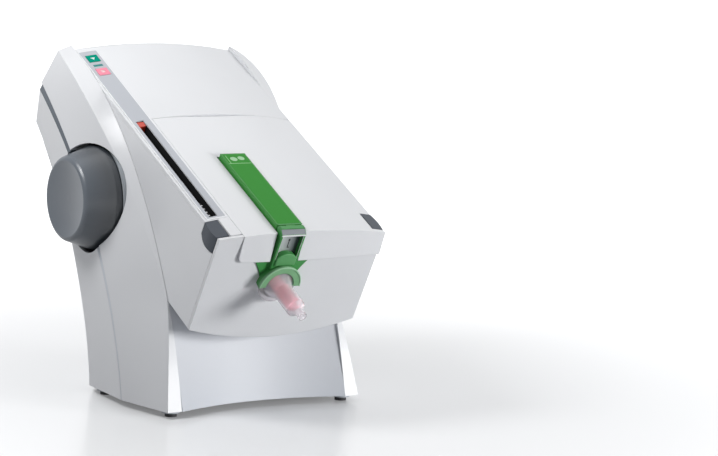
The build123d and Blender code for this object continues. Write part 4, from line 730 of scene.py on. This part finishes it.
# Lock's hinge and neck. Thin green plates close the seam over the hinge, one on the label cover
# and one on the lock, and a half barrel, moulded with the lock, runs from its window to the ring.
plate_inset = 0.5
for name, f, n, body in (
    ("spine_nose", (303.9, 305.8), (3.45, 3.62), "root"),
    ("lock_hinge_cover", (307.3, 311.8), (3.3, 3.72), "tip_lock"),
):
    shape = bmesh.new()
    flat_block(shape, drawn_in(lock_x, plate_inset), f, n)
    keep_piece(name, shape, deck, lock_green, body)
neck_radius = 13.4
neck_half = 10.5
neck_foot = -33.0
neck_n = -33.4
neck_f = (311.7, 317.7)
neck_rounding = 1.2
neck_place = Matrix.Translation((axis_x, -neck_f[0], neck_n))
shape = bmesh.new()
bmesh.ops.create_circle(
    shape, cap_ends=True, segments=96, radius=neck_radius,
    matrix=neck_place @ Matrix.Rotation(math.pi / 2, 4, "X"),
)
for point, away in (
    ((axis_x - neck_half, 0, 0), (-1, 0, 0)),
    ((axis_x + neck_half, 0, 0), (1, 0, 0)),
    ((axis_x, 0, neck_foot), (0, 0, -1)),
):
    bmesh.ops.bisect_plane(
        shape, geom=shape.verts[:] + shape.edges[:] + shape.faces[:], dist=0.0001,
        plane_co=point, plane_no=away, clear_outer=True,
    )
thicken(shape, shape.faces[:], (0, neck_f[0] - neck_f[1], 0))
front_edges = [
    edge for edge in shape.edges
    if all(abs(corner.co.y + neck_f[1]) < 0.001 for corner in edge.verts)
]
round_off(shape, front_edges, neck_rounding, 4)
keep_piece("lock_neck", shape, deck, lock_green, "tip_lock", smooth=True)

# Locking ring's edge. A rounded bead runs along the front of the green half ring, where it grips
# the flange of the tip. It is moulded with the lock, and its pale green is a painted highlight.
axis_n = -53.9
ring_radius = 21.6
ring_front = 320.4
bead_radius = 0.75
bead_inset = 0.8
bead_lead = 0.05
axis_place = deck @ Matrix.Translation((axis_x, 0, axis_n)) @ Matrix.Rotation(math.pi / 2, 4, "X")
bead_place = Matrix.Translation((ring_radius - bead_inset, 0, ring_front + bead_lead))
shape = bmesh.new()
bead = bmesh.ops.create_circle(
    shape, cap_ends=True, segments=14, radius=bead_radius,
    matrix=bead_place @ Matrix.Rotation(math.pi / 2, 4, "X"),
)["verts"]
bmesh.ops.spin(
    shape, geom=list({face for corner in bead for face in corner.link_faces}), axis=(0, 0, 1),
    cent=(0, 0, 0), dvec=(0, 0, 0), angle=math.pi, steps=40, use_merge=False, use_duplicate=False,
)
# The bead's pale green is a painted highlight.
bead_highlight_green = plastic("bead_highlight_green", (0.3, 0.55, 0.33), 0.35, gloss=0.5)
keep_piece("lock_ring_bead", shape, axis_place, bead_highlight_green, "tip_lock", smooth=True)

# Material bags. Foil film bags stand in the two tubes, full of paste. Their film is gathered and
# clipped at the rear, and drawn in to the outlet at the front. They are drawn full, as before the
# plungers press them flat.
bag_f = (158.0, 283.4)
clip_f = 160.0
clip_neck = 2.4
clip_profile = [(0.0, bag_f[0]), (3.2, 158.2), (3.4, clip_f), (2.2, 161.4)]
rear_shoulder_f = 168.0
rear_shoulder_length = 6.5
body_places = range(176, 270, 8)
front_shoulder_f = 276.0
front_shoulder_length = 6.0
outlet_f = 283.0
outlet_neck = 3.2
outlet_profile = [(3.0, 283.2), (0.0, bag_f[1])]
shoulder_steps = 8
pleat_count = 18
pleat_reach = 14.0
pleat_depth = 0.09
ripple_turn = 0.5
ripple_depth = 0.006
foil = plastic("foil_film", (0.55, 0.48, 0.6), 0.24, grain=0.5, grain_size=0.004, coat=0.4)


def turned(shape, profile, steps, closed):
    """Turns a profile of radii and places on the local z axis all round that axis."""
    spots = [shape.verts.new((radius, 0.0, f)) for radius, f in profile]
    after = spots[1:] + spots[:1] if closed else spots[1:]
    lines = [shape.edges.new(pair) for pair in zip(spots, after)]
    bmesh.ops.spin(
        shape, geom=spots + lines, axis=(0, 0, 1), cent=(0, 0, 0), dvec=(0, 0, 0),
        angle=2 * math.pi, steps=steps, use_merge=True, use_duplicate=False,
    )
    bmesh.ops.remove_doubles(shape, verts=shape.verts, dist=0.0001)


def foil_bag(name, x, radius):
    """One full bag: a turned sausage with pleats that run out over its shoulders."""
    profile = list(clip_profile)
    quarter = [math.pi / 2 * step / shoulder_steps for step in range(shoulder_steps + 1)]
    for turn in quarter:
        out = clip_neck + (radius - clip_neck) * math.sin(turn)
        profile.append((out, rear_shoulder_f - rear_shoulder_length * math.cos(turn)))
    for f in body_places:
        profile.append((radius, float(f)))
    for turn in quarter:
        out = outlet_neck + (radius - outlet_neck) * math.cos(turn)
        profile.append((out, front_shoulder_f + front_shoulder_length * math.sin(turn)))
    profile += outlet_profile
    shape = bmesh.new()
    turned(shape, profile, 72, closed=False)
    for corner in shape.verts:
        if math.hypot(corner.co.x, corner.co.y) > 1.0:
            near_clip = 1.0 - abs(corner.co.z - clip_f) / pleat_reach
            near_outlet = 1.0 - abs(corner.co.z - outlet_f) / pleat_reach
            pleat = 0.5 + 0.5 * math.cos(pleat_count * math.atan2(corner.co.y, corner.co.x))
            ripple = 0.5 + 0.5 * math.sin(corner.co.z * ripple_turn)
            gathered = pleat_depth * max(0.0, near_clip, near_outlet) * pleat
            shrink = 1.0 - gathered - ripple_depth * ripple
            corner.co.x *= shrink
            corner.co.y *= shrink
    place = deck @ Matrix.Translation((x, 0, axis_n)) @ Matrix.Rotation(math.pi / 2, 4, "X")
    bag = keep_piece(name, shape, place, foil, "root", smooth=True)
    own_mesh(bag)
    return bag


bag_base = foil_bag("bag_base", 22.0, 29.0)
foil_bag("bag_catalyst", -42.5, 13.0)
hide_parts("material_bags")

# Mixing tip. A clear thin-walled housing hangs in the ring by its flange. Inside it a pink helical
# rotor with a hex socket turns on the drive shaft and folds the two pastes together.


def clear_plastic(name, color, haze):
    """Clear moulded plastic with a slight milky haze."""
    material = new_material(name)
    tree = material.node_tree
    spot = piece_place(tree)
    shade, cloud = even_tone(tree, spot, color)
    body = add_node(tree, "ShaderNodeBsdfPrincipled", {}, {
        "Base Color": shade, "Roughness": cloud * 0.08 + 0.06, "IOR": 1.12,
        "Transmission Weight": 1.0, "Normal": soft_edges(tree, spot, 0.0004, 0.02, 0.002),
    })
    sockets = {"Base Color": shade, "Roughness": 0.35}
    milk = add_node(tree, "ShaderNodeBsdfPrincipled", {}, sockets)
    both = add_node(tree, "ShaderNodeMixShader", {}, {0: haze, 1: body[0], 2: milk[0]})
    return close_material(material, both[0])


dress(clear_plastic("tip_clear", (0.98, 0.95, 0.97), 0.26), "tip_housing")
rotor_core = 1.9
socket_radius = 4.35
socket_f = (303.0, 309.4)
shape = bmesh.new()
turned(shape, [
    (socket_radius, socket_f[0]), (5.7, socket_f[0]), (6.0, 303.4), (6.0, 311.4), (5.4, 312.0),
    (2.4, 312.6), (rotor_core, 313.4), (rotor_core, 350.0), (1.2, 351.4), (0.0, 351.8),
    (0.0, socket_f[1]), (socket_radius, socket_f[1]),
], 36, closed=True)
blade_x = (1.2, 6.5)
blade_thickness = 0.5
blade_width = 1.6
blade_start = 317.5
blade_travel = 31.5
blade_turns = 2.5
blade_steps = 90
for start in (0.0, math.pi):
    blade = bmesh.ops.create_cube(shape, size=1.0)["verts"]
    size = (blade_x[1] - blade_x[0], blade_thickness, blade_width)
    bmesh.ops.scale(shape, vec=size, verts=blade)
    bmesh.ops.translate(shape, vec=(sum(blade_x) / 2, 0, blade_start), verts=blade)
    bmesh.ops.rotate(shape, matrix=Matrix.Rotation(start, 3, "Z"), verts=blade)
    ahead = Vector((-math.sin(start), math.cos(start), 0))
    sides = {face for corner in blade for face in corner.link_faces}
    front = max(sides, key=lambda face: face.normal.dot(ahead))
    bmesh.ops.spin(
        shape, geom=[front], axis=(0, 0, 1), cent=(0, 0, 0),
        dvec=(0, 0, blade_travel / blade_steps), angle=blade_turns * 2 * math.pi,
        steps=blade_steps, use_merge=False, use_duplicate=False,
    )
    bmesh.ops.delete(shape, geom=[front], context="FACES_ONLY")
rotor_pink = plastic("rotor_pink", (0.9, 0.3, 0.38), 0.4)
rotor = keep_piece("rotor_screw", shape, axis_place, rotor_pink, "drive", smooth=True)
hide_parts("mixing_rotor")

# Drive train. Steel shafts run in brass bushings. A small gear on the wheel's shaft turns the large
# one on the cross shaft, whose two pinions drive the toothed plunger racks forward.
axle_steel = metal("axle_steel", (0.58, 0.59, 0.61), 0.25, (12.0, 1.0, 1.0))
dress(axle_steel, "pinion_shaft", "wheel_shaft", "drive_shaft")
gear_steel = metal("gear_steel", (0.5, 0.51, 0.53), 0.32, (1.0, 6.0, 6.0))
dress(gear_steel, "pinion_gear", "rack_pinions", "wheel_gear", "plunger_racks")
dress(metal("bushing_brass", (0.62, 0.43, 0.18)), "shaft_bushings")
dress(plastic("disc_rubber", (0.04, 0.04, 0.043), 0.55, grain=0.2), "plunger_discs")
dress(metal("yoke_plate", (0.55, 0.56, 0.58), 0.4), "rack_yoke")
plate_metal = metal("plate_metal", (0.66, 0.67, 0.69), 0.38, (1.0, 10.0, 1.0))
dress(plate_metal, "side_frames", "bulkhead", "shaft_bracket", "motor_mount", "cartridge_tray")

# Motors. The mixing motor is a laminated steel can under the shaft and drives it through a toothed
# belt. The feed motor with its gearbox turns the cross shaft.
sheet_turn = 4.2
sheet_line = 0.55
sheet_ink = 0.5
tooth_turn = 2600.0
tooth_line = 0.3
tooth_ink = 0.6


def can_paint(tree, spot, shade):
    """Dark paint with the thin lines of the stacked laminations."""
    along = deck_places(tree, spot)[1]
    lines = along.sum("SINE", along * sheet_turn) > sheet_line
    return mix(tree, lines * sheet_ink, shade, (0.16, 0.165, 0.175))


def belt_teeth(tree, spot, shade):
    """Fine cross lines on the belt."""
    height = split(tree, spot)[2]
    lines = height.sum("SINE", height * tooth_turn) > tooth_line
    return mix(tree, lines * tooth_ink, shade, (0.07, 0.07, 0.074))


motor_paint = plastic("motor_paint", (0.05, 0.052, 0.057), 0.42, coat=0.15, paint=can_paint)
dress(motor_paint, "mixing_motor", "feed_motor")
dress(metal("pulley_alloy", (0.6, 0.61, 0.63), 0.33), "drive_pulley", "motor_pulley")
belt_rubber = plastic("belt_rubber", (0.025, 0.025, 0.027), 0.6, grain=0.2, paint=belt_teeth)
dress(belt_rubber, "drive_belt")

# Electrics. A perforated grey supply box and a circuit board stand on the base plate, and the inlet
# module with its rocker switch fills the window in the rear cover.
hole_radius = 0.26


def pierced(tree, spot, shade):
    """Rows of small dark vent holes in the sheet."""
    sockets = {"Vector": spot, "Scale": 170.0, "Randomness": 0.0}
    holes = add_node(tree, "ShaderNodeTexVoronoi", {}, sockets)[0]
    return mix(tree, holes < hole_radius, shade, (0.03, 0.03, 0.035))


dress(plastic("supply_sheet", (0.42, 0.44, 0.46), 0.4, paint=pierced), "power_supply")
dress(plastic("inlet_black", (0.02, 0.02, 0.022), 0.4, grain=0.15), "mains_inlet")
dress(plastic("rocker_black", (0.025, 0.025, 0.028), 0.3, coat=0.2), "rocker_switch")
